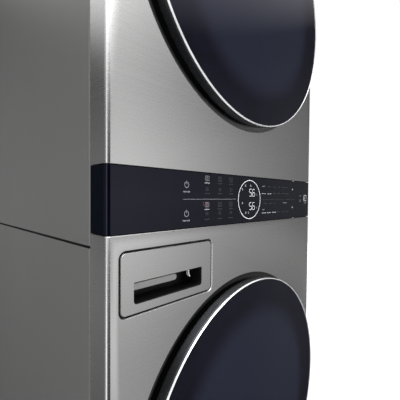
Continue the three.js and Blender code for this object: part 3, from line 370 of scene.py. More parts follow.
# Each finish: colour, roughness and metal, then the grain's stretch and scale, how much it changes the
# colour and the roughness, and its relief's strength and depth.
FINISHES = {
    "brushed_steel": ((0.60, 0.60, 0.598), 0.27, 1.0, (0.6, 0.6, 330.0), 7.0, 0.02, 0.018, 0.015, 0.0001),
    "painted_steel": ((0.15, 0.15, 0.148), 0.34, 0.4, EVEN, 900.0, 0.05, 0.04, 0.12, 0.0002),
    "zinc_steel": ((0.58, 0.60, 0.61), 0.38, 1.0, EVEN, 60.0, 0.12, 0.09, 0.05, 0.0002),
    "washer_dish_metal": ((0.105, 0.105, 0.11), 0.42, 0.4, EVEN, 700.0, 0.1, 0.04, 0.06, 0.0001),
    "dryer_dish_metal": ((0.105, 0.105, 0.11), 0.42, 0.4, EVEN, 700.0, 0.1, 0.04, 0.06, 0.0001),
    "plated_plastic": ((0.036, 0.037, 0.042), 0.27, 0.85, EVEN, 500.0, 0.06, 0.03, 0.03, 0.0001),
    "chrome": ((0.93, 0.93, 0.95), 0.22, 0.55, EVEN, 300.0, 0.03, 0.02, 0.02, 0.0001),
    "black_glass": ((0.0008, 0.0012, 0.0040), 0.08, 0.0, EVEN, 40.0, 0.3, 0.02, 0.01, 0.0001),
    "end_cap": ((0.0012, 0.0022, 0.0055), 0.5, 0.0, EVEN, 700.0, 0.2, 0.04, 0.05, 0.0001),
    "washer_door_glass": ((0.003, 0.003, 0.008), 0.05, 0.0, EVEN, 30.0, 0.3, 0.015, 0.01, 0.0001),
    "dryer_door_glass": ((0.003, 0.003, 0.008), 0.05, 0.0, EVEN, 30.0, 0.3, 0.015, 0.01, 0.0001),
    "bowl_glass": ((0.24, 0.27, 0.275), 0.03, 0.0, EVEN, 40.0, 0.03, 0.015, 0.02, 0.0002),
    "black_plastic": ((0.004, 0.004, 0.005), 0.42, 0.0, EVEN, 600.0, 0.2, 0.03, 0.02, 0.0001),
    "dark_plastic": ((0.022, 0.022, 0.024), 0.45, 0.0, EVEN, 900.0, 0.15, 0.06, 0.15, 0.0002),
    "grey_plastic": ((0.30, 0.31, 0.32), 0.40, 0.0, EVEN, 900.0, 0.06, 0.05, 0.10, 0.0002),
    "silver_paint": ((0.46, 0.46, 0.46), 0.33, 0.75, EVEN, 900.0, 0.05, 0.04, 0.05, 0.0001),
    "white_plastic": ((0.72, 0.73, 0.72), 0.42, 0.0, EVEN, 900.0, 0.04, 0.05, 0.10, 0.0002),
    "stainless": ((0.68, 0.68, 0.68), 0.22, 1.0, (60, 1.5, 60), 8.0, 0.05, 0.05, 0.06, 0.0001),
    "gasket_rubber": ((0.085, 0.09, 0.09), 0.62, 0.0, EVEN, 800.0, 0.12, 0.06, 0.2, 0.0003),
    "black_rubber": ((0.012, 0.012, 0.012), 0.68, 0.0, EVEN, 700.0, 0.2, 0.08, 0.25, 0.0003),
    "concrete": ((0.30, 0.29, 0.27), 0.88, 0.0, EVEN, 160.0, 0.25, 0.06, 0.6, 0.0015),
    "cast_aluminium": ((0.52, 0.53, 0.54), 0.45, 1.0, EVEN, 500.0, 0.1, 0.1, 0.4, 0.0004),
    "motor_iron": ((0.20, 0.11, 0.06), 0.55, 0.6, (1, 400, 1), 3.0, 0.3, 0.1, 0.3, 0.0004),
    "circuit_board": ((0.012, 0.07, 0.04), 0.4, 0.0, EVEN, 120.0, 0.4, 0.1, 0.2, 0.0002),
}
# Printed marks: colour and glow.
INKS = {
    "print_white": ((0.80, 0.82, 0.85), 0.25),
    "print_soft": ((0.50, 0.51, 0.54), 0.05),
    "print_grey": ((0.26, 0.27, 0.30), 0.0),
    "print_faint": ((0.040, 0.045, 0.055), 0.0),
    "print_red": ((0.16, 0.025, 0.04), 0.0),
}
# The slots of the looks that don't have a slot of their own name.
PRINT_SLOTS = {
    "washer_dish_metal": "gunmetal",
    "dryer_dish_metal": "gunmetal",
    "washer_door_glass": "smoked_glass",
    "dryer_door_glass": "smoked_glass",
    "chrome": "plated_plastic",
    "end_cap": "black_plastic",
    "silver_paint": "grey_plastic",
    **dict.fromkeys(INKS, "black_glass"),
}


def make_looks():
    made = {}
    for name, (colour, rough, metal, *grain) in FINISHES.items():
        made[name] = Look(name + "_finish", colour, rough, metal).grain(*grain)
    for name, (colour, glow) in INKS.items():
        made[name] = Look(name + "_finish", colour, 0.25, 0.0).grain(EVEN, 500.0, 0.1, 0.05, 0.02, 0.00005)
        made[name].set(Emission_Color=(*colour, 1), Emission_Strength=glow)
    made["brushed_steel"].set(Anisotropic=0.7, Anisotropic_Rotation=0.25)
    # Lighter edges: wear, together with a painted highlight.
    made["plated_plastic"].edge_wear_and_highlight((0.3, 0.3, 0.3), 0.3)
    made["dark_plastic"].edge_wear_and_highlight((0.08, 0.08, 0.08), 0.35)
    made["black_glass"].set(IOR=1.36, Specular_Tint=NAVY)
    made["end_cap"].set(IOR=1.12, Specular_Tint=NAVY)
    made["bowl_glass"].set(IOR=1.48, Alpha=0.28)
    for prefix, height in (("washer", WASHER_Z), ("dryer", DRYER_Z)):
        # Painted shade: the dish goes near-black inside the door's ring, where the door shades it.
        made[prefix + "_dish_metal"].paint_centre_light_and_shade((0.006, 0.006, 0.007), height, full=0.2945, gone=0.302)
        # Painted sheen: the nearly opaque pane is lighter in its middle, over the bowl behind it.
        made[prefix + "_door_glass"].paint_centre_light_and_shade((0.012, 0.014, 0.026), height, full=0.20, gone=0.26)
        made[prefix + "_door_glass"].set(IOR=1.34, Alpha=0.96, Specular_Tint=NAVY)
    return made


looks = make_looks()


def dress(piece, look, body="cabinet", stands_for=(), edge=0.0, segments=2):
    """Gives a piece its material, its rounded edges and the body that it rides on, and hides the CAD nodes
    that it stands for.
    """
    piece.data.materials.clear()
    piece.data.materials.append(looks[look].material)
    if edge:
        soften(piece, edge, segments)
    if body:
        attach(piece, body)
    if stands_for:
        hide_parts(*([stands_for] if isinstance(stands_for, str) else stands_for))
    return piece


# ---- Steel fronts -------------------------------------------------------------------------------

DRAWER_R = 10  # corners of the drawer's front
FLAP_R = 3  # corners of the pump flap
JOINT = 1.7  # gap around the drawer's front and the flap
PLATE_TRIM = 0.6  # how far those two stay inside their CAD plates
CHAMFER_W = 1.4  # flat chamfers, across the face
CHAMFER_D = 2.0  # and into the depth
FLAP_CHAMFER_W = 0.8
EDGE_BREAK = 0.4


def front_outline(depth, thick, trim=0.0):
    """A front seen from above: a flat face, rounded upright corners and returns down the sides."""
    x, y0, y1 = HALF_WIDTH, FRONT_Y, FRONT_Y + depth
    inner_r = CORNER_R - 1.5
    outer_r = CORNER_R - trim
    outer = arc(-x + CORNER_R, y0 + CORNER_R, outer_r, 180, 270, 12)
    outer += arc(x - CORNER_R, y0 + CORNER_R, outer_r, 270, 360, 12)
    inner = arc(x - thick - inner_r, y0 + thick + inner_r, inner_r, 0, -90, 4)
    inner += arc(-x + thick + inner_r, y0 + thick + inner_r, inner_r, -90, -180, 4)
    return [(-x + trim, y1)] + outer + [(x - trim, y1), (x - thick, y1)] + inner + [(-x + thick, y1)]


def gap_outline(node, joint, r):
    """The outline of a node's box, grown by a joint."""
    box = Box(node)
    return rounded(box.x, box.z, 2 * (box.half + joint), box.z1 - box.z0 + 2 * joint, r + joint)


def steel_front(prefix, box, door_z, holes=()):
    """A folded front with its top edge chamfered, a round door opening and flared smaller openings."""
    name = prefix + "_front_steel"
    depth = box.y1 - FRONT_Y
    skin = loft(name, [
        (front_outline(depth, FRONT_T, EDGE_BREAK), box.z0),
        (front_outline(depth, FRONT_T), box.z0 + EDGE_BREAK),
        (front_outline(depth, FRONT_T), box.z1 - CHAMFER_D),
        (front_outline(depth, FRONT_T, CHAMFER_W), box.z1),
    ], "z")
    outer = OPENING_R + LIP_R
    back = FRONT_Y + FRONT_T + 6
    cutters = [rod("door_hole", outer, (FRONT_Y - 5, back), 0, door_z, STEPS)]
    for node, r, wide in holes:
        deep = wide * CHAMFER_D / CHAMFER_W
        cutters.append(loft("hole", [
            (gap_outline(node, JOINT + 2 * wide, r), FRONT_Y - deep),
            (gap_outline(node, JOINT, r), FRONT_Y + deep),
            (gap_outline(node, JOINT, r), back),
        ]))
    dress(carve(skin, *cutters), "brushed_steel", stands_for=prefix + "_front_panel")
    roll = [
        (outer - LIP_R * sin(radians(a)), FRONT_Y + LIP_R * (1 - cos(radians(a))))
        for a in range(0, 91, 10)
    ]
    lip_back = FRONT_Y + LIP_R + 1
    lip = lathe(name + "_door_lip", roll + [(OPENING_R, lip_back), (outer, lip_back)], door_z)
    # Painted shade: the steel's roll wears the darker dish metal instead of steel, so that it reads as
    # shaded.
    dress(lip, prefix + "_dish_metal")


def chamfered_plate(name, node, r, thick, wide):
    """A plate a little smaller than its opening, with a flat chamfer around its front."""
    deep = wide * CHAMFER_D / CHAMFER_W
    return loft(name, [
        (gap_outline(node, -PLATE_TRIM - wide, r), FRONT_Y),
        (gap_outline(node, -PLATE_TRIM, r), FRONT_Y + deep),
        (gap_outline(node, -PLATE_TRIM, r), FRONT_Y + thick),
    ])


def fronts():
    holes = [("drawer_front", DRAWER_R, CHAMFER_W), ("pump_flap", FLAP_R, FLAP_CHAMFER_W)]
    steel_front("washer", washer_front, WASHER_Z, holes)
    steel_front("dryer", dryer_front, DRYER_Z)


# ---- Control panel ------------------------------------------------------------------------------

def control_panel():
    """The glass wrapped round both corners, its end caps, and the tray behind it with the board."""
    x, z = HALF_WIDTH, inset(housing.zs, 0.6)
    y1 = housing.y1
    shell = prism("control_fascia", front_outline(CORNER_R, 3), z, "z")
    dress(shell, "black_glass", stands_for=("control_glass", "control_housing"), edge=0.7)
    for side, name in ((-1, "left"), (1, "right")):
        across = sorted((side * x, side * (x - 3)))
        cap = block(f"control_end_cap_{name}", across, (FRONT_Y + CORNER_R + 0.2, y1), z)
        dress(cap, "end_cap", edge=0.7)
    back = block("control_back_tray", (-x + 3.5, x - 3.5), (FRONT_Y + 5, y1 - 1), (z[0] + 2, z[1] - 2))
    inside = block("inside", (-x + 6, x - 6), (FRONT_Y + 7, y1 + 5), (z[0] + 5, z[1] - 5))
    dress(carve(back, inside), "black_plastic", edge=0.6)
    dress(frame["nodes"]["control_board"], "circuit_board", body=None, edge=0.3)


PRINT_T = 0.05  # how far the marks stand off the glass


class Print:
    """Flat marks on the glass, in millimetres from the panel's middle, joined into one mesh."""

    def __init__(self):
        self.verts, self.faces = [], []

    def shape(self, points):
        first = len(self.verts)
        self.verts += [(a, FRONT_Y - PRINT_T, PANEL_Z + b) for a, b in points]
        self.faces.append(tuple(range(first, first + len(points))))

    def line(self, points, width, closed=False):
        """A band of a width along points, with mitred corners."""
        path = [Vector(p) for p in points]
        n = len(path)
        left, right = [], []
        for k, here in enumerate(path):
            before = path[k - 1] if k or closed else here
            after = path[(k + 1) % n] if k < n - 1 or closed else here
            into = (here - before).normalized() if before != here else (after - here).normalized()
            out = (after - here).normalized() if after != here else into
            along = (into + out).normalized() if (into + out).length > 1e-6 else into
            side = Vector((-along.y, along.x)) * width / 2 / max(0.5, along.dot(into))
            left.append(here + side)
            right.append(here - side)
        for k in range(n if closed else n - 1):
            j = (k + 1) % n
            self.shape([left[k], left[j], right[j], right[k]])

    def ring(self, x, z, r, width, start=0, end=360):
        closed = end - start == 360
        points = arc(x, z, r, start, end, 64)
        self.line(points[:-1] if closed else points, width, closed)

    def bar(self, x, z, width, height):
        w, h = width / 2, height / 2
        self.shape([(x - w, z - h), (x + w, z - h), (x + w, z + h), (x - w, z + h)])

    def caption(self, x, z, width, height):
        """A row of short dashes where a caption would be."""
        count = max(2, round(width / 3.2))
        step = width / count
        for k in range(count):
            tall = height * (1.0 if k % 3 else 0.72)
            self.bar(x - width / 2 + step * (k + 0.5), z, step * 0.62, tall)

    def finish(self, name, look):
        dress(add_mesh(name, self.verts, self.faces), look)


def power_sign(marks, x, z):
    marks.ring(x, z, 5.2, 1.2, -250, 70)
    marks.line([(x, z + 1.2), (x, z + 7.2)], 1.2)


def garment_sign(marks, x, z, size):
    """A drum door in a square: a generic sign for a washing course."""
    marks.line(rounded(x, z, size, size * 0.8, 1.2, 2), 0.8, True)
    marks.ring(x, z - 0.3, size * 0.22, 0.8)


def wave_sign(marks, x, z, size):
    """Three zigzags, one above the other."""
    for k in (-1, 0, 1):
        points = [(x - size / 2 + size * i / 6, z + k * 2.4 + (0.7 if i % 2 else -0.7)) for i in range(7)]
        marks.line(points, 0.6)


DIGIT_W = 11.2
DIGIT_H = 16.6
DIGIT_LINE = 1.15
DIGIT_GAP = 0.7
SEGMENTS = {"5": "afgcd", "6": "afgedc"}


def digit(marks, figure, x, z):
    """A figure of seven thin segments."""
    w, h = DIGIT_W / 2 - 1, DIGIT_H / 2
    ends = {
        "a": ((-w, h), (w, h)),
        "c": ((w, -h), (w, 0)),
        "d": ((-w, -h), (w, -h)),
        "e": ((-w, -h), (-w, 0)),
        "f": ((-w, 0), (-w, h)),
        "g": ((-w, 0), (w, 0)),
    }
    for key in SEGMENTS[figure]:
        start, end = (Vector(point) + Vector((x, z)) for point in ends[key])
        short = (end - start).normalized() * DIGIT_GAP
        marks.line([start + short, end - short], DIGIT_LINE)


RING_X = 19  # the ring around the two figures
RING_MARK_R = 45.3
DISPLAY_X = 28.6  # middle of the figures
COURSE_COLUMNS = (-131, -91, -53.5)  # the signs to the left of the ring


def panel_marks():
    """The signs of the control strip, with rows of dashes where printed words would be."""
    prints = {shade: Print() for shade in ("bright", "soft", "grey", "faint", "red")}
    bright, soft, grey, faint, red = prints.values()
    for z in (28, -26):
        power_sign(grey, -187.5, z)
        grey.caption(-188, z - 13, 19, 2.8)
    grey.bar(-116, 1, 160, 0.7)
    faint.bar(157, 0, 180, 0.6)
    for z, low in ((43, 33.5), (21, 12.5), (-10, -19.5), (-28, -39.5)):
        for x in COURSE_COLUMNS:
            garment = z in (43, -10)
            strong = garment and x == COURSE_COLUMNS[0]
            if garment:
                garment_sign(grey if strong else faint, x, z, 11)
            else:
                wave_sign(faint, x, z, 9)
            (soft if strong else faint).caption(x, low, 15, 2.0)
    red.ring(-131, -10, 3.4, 1.0)
    red.bar(-141.5, -8, 1.2, 8)
    bright.ring(RING_X, 0, RING_MARK_R, 1.45)
    for z in (16.4, -15.6):
        digit(bright, "5", DISPLAY_X - 6.6, z)
        digit(bright, "6", DISPLAY_X + 6.6, z)
        grey.line([(47, z - 7), (49.5, z - 2.5), (50.5, z - 7)], 0.8)
    for x, z in ((1, 32.5), (23, 33), (-10.5, 23.8), (-10.3, -8), (3, -30.5), (14.5, -30.7)):
        corners = [(x - 1.5, z - 1.8), (x - 1.0, z + 1.9), (x + 1.4, z + 0.9), (x + 1.0, z - 1.8)]
        soft.line(corners, 0.9, True)
    red.line([(48, 27), (51, 21)], 1.0)
    grey.caption(79.5, 33, 13, 2.6)
    faint.caption(107, 33, 14, 2.4)
    for x in (80, 107.5):
        soft.caption(x, 14.6, 20, 1.9)
    for x in (133, 158, 183, 202):
        faint.caption(x, 16, 16, 2.2)
        faint.caption(x, 33, 14, 2.2)
    grey.caption(191, -9.5, 22, 2.4)
    grey.caption(80, -25.5, 12, 2.2)
    for x in (82, 107, 133):
        soft.caption(x, -34, 20, 2.2)
    for x in (158, 183, 205):
        faint.caption(x, -34, 15, 2.2)
        faint.caption(x - 70, -10, 15, 2.2)
    for z in (29, -23):
        soft.shape([(234, z - 3.2), (234, z + 3.2), (239, z)])
    grey.ring(287, 7, 4.5, 1.1, 20, 160)
    grey.ring(287, -4, 3.2, 1.1)
    soft.line(rounded(322, 4, 13, 18, 4, 4), 2.0, True)
    soft.bar(311, 4, 2.2, 19)
    grey.bar(319, -11, 14, 1.6)
    for shade, marks in prints.items():
        marks.finish(f"panel_print_{shade}", "print_white" if shade == "bright" else f"print_{shade}")


# ---- Doors --------------------------------------------------------------------------------------

BEZEL_W = 2.6
FRAME_BACK = FRONT_Y + 4
HINGE = next(joint["pos_m"] for joint in frame["joints"] if joint["name"] == "washer_door_hinge")
HINGE_X = HINGE[0] / MM
HINGE_Y = HINGE[1] / MM
LATCH_X = 244
GRIP_HALF = 70
HINGE_HALF = 50
ARM_HALF = 30
HINGE_CUT_HALF = HINGE_HALF + 3
ARM_CUT_HALF = ARM_HALF + 4
CUT_X = 312  # outer end of the cuts in a door's ring and cover
LAND_R = 212  # the ring's inner edge, which holds the bowl
COVER_R = DOOR_R - 19.5
BOWL_WALL = 4
SCREW_CIRCLE_R = 246


def door(prefix, z, mouth_r, neck, bottom, depth):
    """A door's glass, trim, ring, back cover, latch hook, bowl, hinge leaf and screws."""
    body = prefix + "_door"
    r, face, front = DOOR_R, DOOR_FACE, FRONT_Y
    inner = r - BEZEL_W
    glass = [(0, face + 0.2)]
    glass += [(inner * k / 12, face + 0.2 + 1.6 * (k / 12) ** 2) for k in range(1, 12)]
    glass += [(inner - 1, face + 1.9), (inner - 0.4, face + 2.4)]
    glass += [(inner - 0.4, face + 4), (0, face + 4)]
    pane = dress(lathe(body + "_pane", glass, z), body + "_glass", body, body + "_glass")
    bezel = fillet([
        (inner, face + 0.5, 0.3), (inner + 0.6, face, 0.3), (inner + 0.9, face, 0.3),
        (r - 0.4, face + 2.3, 0.3), (r - 0.4, face + 3.4), (inner, face + 3.4),
    ])
    trim = dress(lathe(body + "_bezel", bezel, z), "chrome", body)
    rim = fillet([
        (r - 1.4, face + 3.6), (r - 1.8, face + 5.5), (r - 0.6, face + 7.5, 1), (r - 0.8, face + 24, 1.5),
        (r - 12, face + 27, 2), (r - 15, FRAME_BACK, 1), (r - 19, FRAME_BACK, 1), (r - 19, face + 23),
        (r - 6, face + 21), (r - 6, face + 9), (LAND_R + 4, face + 9), (LAND_R + 4, front - 6.5, 1),
        (LAND_R, front - 6.5, 1), (LAND_R, face + 4.4), (r - 6, face + 4.4), (r - 6, face + 3.6),
    ])
    hinge_z = about(z, HINGE_CUT_HALF)
    arm_z = about(z, ARM_CUT_HALF)
    grip_z = about(z, GRIP_HALF)
    ring = carve(
        lathe(body + "_ring", rim, z),
        block("hinge_notch", (-CUT_X, -268), (face + 10, FRAME_BACK + 1), hinge_z),
        block("arm_notch", (-CUT_X, -288), (face + 4.8, face + 11), arm_z),
        block("grip_notch", (264, CUT_X), (front - 22, FRAME_BACK + 1), grip_z),
    )
    ring = dress(ring, "plated_plastic", body, body + "_frame", edge=0.4)
    # In the satin steel, the blurred reflection of these dark pieces is stronger than in the photograph.
    for piece in (pane, trim, ring):
        piece.visible_glossy = False
    y0, y1 = front - 1.2, front + 3.2
    cover = lathe(body + "_cover", fillet([
        (COVER_R, y0, 0.5), (COVER_R, y1, 2), (mouth_r + 12, y1, 2), (mouth_r, y1 - 2, 1), (mouth_r, y0),
    ]), z)
    cover = carve(
        cover,
        block("hinge_notch", (-CUT_X, -262), (y0 - 1, y1 + 1), hinge_z),
        block("grip_notch", (257, CUT_X), (y0 - 1, y1 + 1), grip_z),
    )
    dress(cover, "dark_plastic", body, body + "_back", edge=0.5)
    hook = merged(
        body + "_hook",
        block("foot", about(LATCH_X, 9), (y1 - 0.5, y1 + 2), about(z, 12)),
        block("stem", about(LATCH_X, 3), (y1 + 1, front + 36), about(z, 6)),
        block("beak", (LATCH_X - 6, LATCH_X), (front + 31, front + 36), about(z, 6)),
    )
    dress(hook, "zinc_steel", body, edge=0.5)
    end = front + depth
    bowl = fillet([
        (0, end), (bottom * 0.7, end - 1.5, 60), (bottom, end - 12, 16), (neck, front + 8, 10),
        (neck + 7, y0 - 0.5, 3), (LAND_R + 12, y0 - 0.5, 1), (LAND_R + 12, front - 5.5, 1),
        (neck + 2, front - 5.5, 6), (bottom - BOWL_WALL, end - 14, 12),
        (bottom * 0.7, end - 1.5 - BOWL_WALL, 50), (0, end - BOWL_WALL),
    ], 6)
    dress(lathe(body + "_dish", bowl, z), "bowl_glass", body, body + "_bowl")
    hinge(body, z)
    angles = [radians(degrees) for degrees in (40, 90, 140, 220, 270, 320)]
    places = [(SCREW_CIRCLE_R * cos(a), z + SCREW_CIRCLE_R * sin(a)) for a in angles]
    screws(body + "_screws", places, y1, body)


def hinge_bar(name, inner, outer, low, high, steps=32):
    """A round bar or tube standing on the hinge's axis."""
    wall = [(inner, low), (outer, low), (outer, high), (inner, high)]
    return lathe(name, wall, 0, HINGE_X, steps, "z", HINGE_Y)


def hinge(body, z):
    """The door's leaf with its two knuckles."""
    leaf_y = (HINGE_Y - 4, HINGE_Y + 2)
    parts = [prism("leaf", rounded(-245.5, z, 41, 2 * HINGE_HALF, 5), leaf_y)]
    for low, high in ((z + ARM_HALF + 1, z + HINGE_HALF), (z - HINGE_HALF, z - ARM_HALF - 1)):
        parts.append(hinge_bar("knuckle", 4.7, 8, low, high))
        parts.append(block("ear", (HINGE_X + 6, -262), leaf_y, (low, high)))
    dress(merged(body + "_leaf", *parts), "zinc_steel", body, body + "_hinge", edge=0.5)


def screws(name, places, y, body, r=4.2):
    """Pan-head screws with a cross recess, their heads towards +Y."""
    head = fillet([(0, y), (r, y), (r, y + 1.6, 0.8), (0, y + 2.2)], 3)
    heads = merged(name, *[lathe("head", head, z, x, 20) for x, z in places])
    arm, deep = r * 0.6, (y + 1.2, y + 3)
    level = [block("cross", about(x, arm), deep, about(z, 0.5)) for x, z in places]
    upright = [block("cross", about(x, 0.5), deep, about(z, arm)) for x, z in places]
    dress(carve(heads, merged("level", *level), merged("upright", *upright)), "zinc_steel", body)


# ---- Dishes behind the doors --------------------------------------------------------------------

RECESS = 18  # from the steel's face to the dish's floor
DISH_T = 1
DISH_R = 296  # outside of the dish's wall, in front
DISH_FLOOR_R = 290  # and at its floor
WASHER_MOUTH_R = 200
DRYER_MOUTH_R = 205


def dish(name, z, node, mouth, tail):
    """A pressed dish with its latch slot, hinge bracket and latch; tail is its profile at the mouth."""
    floor = FRONT_Y + RECESS
    wall = OPENING_R + 1.5
    profile = fillet([
        (wall + 5, FRONT_Y + 5.5), (wall + 5, FRONT_Y + 6.5), (wall, FRONT_Y + 6.5, 1),
        (DISH_R, FRONT_Y + 12, 2), (DISH_FLOOR_R, floor + DISH_T, 3), *tail,
        (mouth + 22, floor + 0.5, 3), (mouth + 26, floor, 3),
        (DISH_FLOOR_R - DISH_T, floor, 3), (DISH_R - DISH_T, FRONT_Y + 11, 2), (wall, FRONT_Y + 5.5, 1),
    ])
    pan = lathe(name, profile, z)
    slot = block("latch_slot", about(LATCH_X, 12), (FRONT_Y + 5, FRONT_Y + 30), about(z, 14))
    dress(carve(pan, slot), name + "_metal", stands_for=node)
    arm_z, pin_z = about(z, ARM_HALF), about(z, HINGE_HALF + 1)
    bracket = merged(
        name + "_hinge_bracket",
        prism("plate", rounded(-276, z, 24, 120, 4), (floor - 3, floor + 0.5)),
        block("arm", about(HINGE_X, 4), (HINGE_Y, floor - 1), arm_z),
        hinge_bar("barrel", 0, 7, *arm_z),
        hinge_bar("pin", 0, 4, *pin_z, 24),
    )
    dress(bracket, "zinc_steel", edge=0.4)
    latch_y = (floor + DISH_T, floor + DISH_T + 22)
    latch = block(name + "_latch", about(LATCH_X, 17), latch_y, about(z, 26))
    mouth_y = (latch_y[0] - 1, latch_y[1] - 3)
    latch = carve(latch, block("mouth", about(LATCH_X, 11), mouth_y, about(z, 13)))
    dress(latch, "dark_plastic", edge=0.6)


def dishes():
    floor = FRONT_Y + RECESS
    dish("washer_dish", WASHER_Z, "washer_door_surround", WASHER_MOUTH_R, [
        (WASHER_MOUTH_R + 2, floor + DISH_T, 2), (WASHER_MOUTH_R, FRONT_Y + 10, 0.4),
        (WASHER_MOUTH_R + 1.2, FRONT_Y + 10, 0.4), (WASHER_MOUTH_R + 2.5, floor - 0.5, 2),
    ])
    back = Box("drum_roller_left").y0 - 26
    dish("dryer_dish", DRYER_Z, "dryer_front_bulkhead", DRYER_MOUTH_R, [
        (DRYER_MOUTH_R + DISH_T, floor + DISH_T, 3), (DRYER_MOUTH_R + DISH_T, back - DISH_T, 2),
        (312, back - DISH_T, 1), (312, back, 1), (DRYER_MOUTH_R, back, 4), (DRYER_MOUTH_R, floor, 6),
    ])
    for side in ("left", "right"):
        roller = Box(f"drum_roller_{side}")
        axle = rod(f"roller_axle_{side}", 6, (back - 1, roller.y1 + 4), roller.x, roller.z, 24)
        dress(axle, "zinc_steel", edge=0.5)


def gasket():
    """A moulded bellows with a lip, three folds and a drum lip, from the dish to the tub."""
    y = FRONT_Y
    outline = fillet([
        (198.5, y + 6, 1), (198.5, y + 24, 2), (205, y + 32, 3), (199, y + 40, 3), (208, y + 50, 3),
        (200, y + 60, 3), (208, y + 70, 3), (199, y + 80, 2), (198.6, y + 96, 0.6), (194, y + 96, 0.6),
        (193, y + 84, 2), (203, y + 70, 2), (194, y + 60, 2), (203, y + 50, 2), (193, y + 40, 2),
        (199, y + 32, 2), (190, y + 24, 3), (186, y + 12, 2), (188.5, y + 6, 1),
    ])
    seal = lathe("door_seal_bellows", outline, WASHER_Z)
    dress(seal, "gasket_rubber", body=None, stands_for="door_gasket")
    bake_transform(seal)


# ---- Detergent drawer ---------------------------------------------------------------------------

POCKET_X = -223.7  # middle of the finger pocket
POCKET_Z = PANEL_Z - 150
POCKET_W = 157
POCKET_H = 36
POCKET_DEPTH = 40


def drawer():
    """The drawer's front with its finger pocket, its tray, and the seal around its opening."""
    plate = chamfered_plate("drawer_face", "drawer_front", DRAWER_R, 4, CHAMFER_W)
    low, high = POCKET_Z - POCKET_H / 2, POCKET_Z + POCKET_H / 2
    left, right = POCKET_X - POCKET_W / 2, POCKET_X + POCKET_W / 2
    mouth = fillet([(left, low, 6), (right, low, 6), (right, high, 1.5), (left, high, 1.5)], 6)
    plate = carve(plate, prism("mouth", mouth, (FRONT_Y - 2, FRONT_Y + 6)))
    dress(plate, "brushed_steel", "drawer", "drawer_front")
    back = FRONT_Y + POCKET_DEPTH
    grown = fillet([
        (left - 2, low - 2, 8), (right + 2, low - 2, 8), (right + 2, high + 2, 3), (left - 2, high + 2, 3),
    ], 6)
    liner = prism("drawer_pocket", grown, (FRONT_Y + 4.2, back + 2))
    scoop = prism("scoop", mouth, (FRONT_Y + 3, back))
    dress(carve(liner, scoop), "black_plastic", "drawer", edge=0.4)
    grip_right = left + POCKET_W * 0.66
    grip = fillet([
        (left + 1, high - 18, 1.5), (grip_right, high - 18, 5),
        (grip_right, high - 6, 5), (left + 1, high - 6, 1.5),
    ], 6)
    grip_plate = prism("drawer_grip_plate", grip, (FRONT_Y + 14, FRONT_Y + 18))
    dress(grip_plate, "silver_paint", "drawer", edge=1.0)
    clip = [
        (left + 132, high - 5), (left + 135, high - 5), (left + 136, high - 13),
        (left + 139, high - 19), (left + 136, high - 19), (left + 133, high - 13),
    ]
    dress(prism("drawer_catch_clip", clip, (FRONT_Y + 13, FRONT_Y + 19)), "chrome", "drawer", edge=0.4)
    box = Box("drawer_tray")
    deep = box.y1 - box.y0
    tray = prism("drawer_tub", rounded(box.x, box.y, 2 * box.half, deep, 6), box.zs, "z")
    cells = [
        prism("cell", rounded((a + b) / 2, box.y, b - a, deep - 4, 4), (box.z0 + 2, box.z1 + 1), "z")
        for a, b in ((box.x0 + 2, box.x - 30), (box.x - 28, box.x + 40), (box.x + 42, box.x1 - 2))
    ]
    dress(carve(tray, *cells), "grey_plastic", "drawer", "drawer_tray", edge=0.4)
    outside = gap_outline("drawer_front", JOINT + 4, DRAWER_R)
    inside = gap_outline("drawer_front", -3, DRAWER_R)
    surround = prism("drawer_opening_seal", outside, (FRONT_Y + 4.4, FRONT_Y + 11))
    surround = carve(surround, prism("hole", inside, (FRONT_Y + 3, FRONT_Y + 12)))
    dress(surround, "black_rubber")
    dress(frame["nodes"]["dispenser_housing"], "white_plastic", body=None, edge=1.0)


# ---- Pump flap and filter -----------------------------------------------------------------------

def pump():
    box = Box("pump_flap")
    flap = chamfered_plate("pump_flap_plate", "pump_flap", FLAP_R, 2.5, FLAP_CHAMFER_W)
    dress(flap, "brushed_steel", "pump_flap", "pump_flap")
    barrels = [
        rod_x("barrel", 2.4, span, FRONT_Y + 3.5, box.z0 + 3.5)
        for span in ((box.x - 45, box.x - 25), (box.x + 25, box.x + 45))
    ]
    dress(merged("pump_flap_knuckles", *barrels), "dark_plastic", "pump_flap")
    cap_box = Box("pump_filter")
    x, z = cap_box.x, cap_box.z
    cap = lathe("pump_filter_cap", fillet([
        (0, -330), (34, -330, 2), (36, -327, 1), (36, -317, 1), (28, -317), (28, -262, 3), (0, -260),
    ]), z, x, 72)
    bar = prism("bar", rounded(x, z, 9, 56, 4.5), (-342, -329))
    dress(merged("pump_filter_knob", cap, bar), "dark_plastic", "pump_filter", "pump_filter", edge=0.8)
    dress(frame["nodes"]["drain_pump"], "grey_plastic", body=None, edge=1.0)


# ---- Cabinets, covers, feet ---------------------------------------------------------------------

def wrap(name, node, span, hole):
    """Two sides and a back in one sheet, with its front edges turned in and a service hole behind."""
    box = Box(node)
    x, y0, y1 = box.half, box.y0 + 2.5, box.y1
    t, flange, r = 1.2, 14, 5
    near, far = y0 + r, y1 - r
    outline = [
        (-x + flange, y0), *arc(-x + r, near, r, 270, 180, 8), *arc(-x + r, far, r, 180, 90, 6),
        *arc(x - r, far, r, 90, 0, 6), *arc(x - r, near, r, 0, -90, 8), (x - flange, y0),
        (x - flange, y0 + t), *arc(x - r, near, r - t, -90, 0, 4), *arc(x - r, far, r - t, 0, 90, 4),
        *arc(-x + r, far, r - t, 90, 180, 4), *arc(-x + r, near, r - t, 180, 270, 4), (-x + flange, y0 + t),
    ]
    skin = prism(name, outline, span, "z")
    skin = carve(skin, block("service", (-285, 285), about(y1, 10), hole))
    dress(skin, "painted_steel", stands_for=node, edge=0.45)


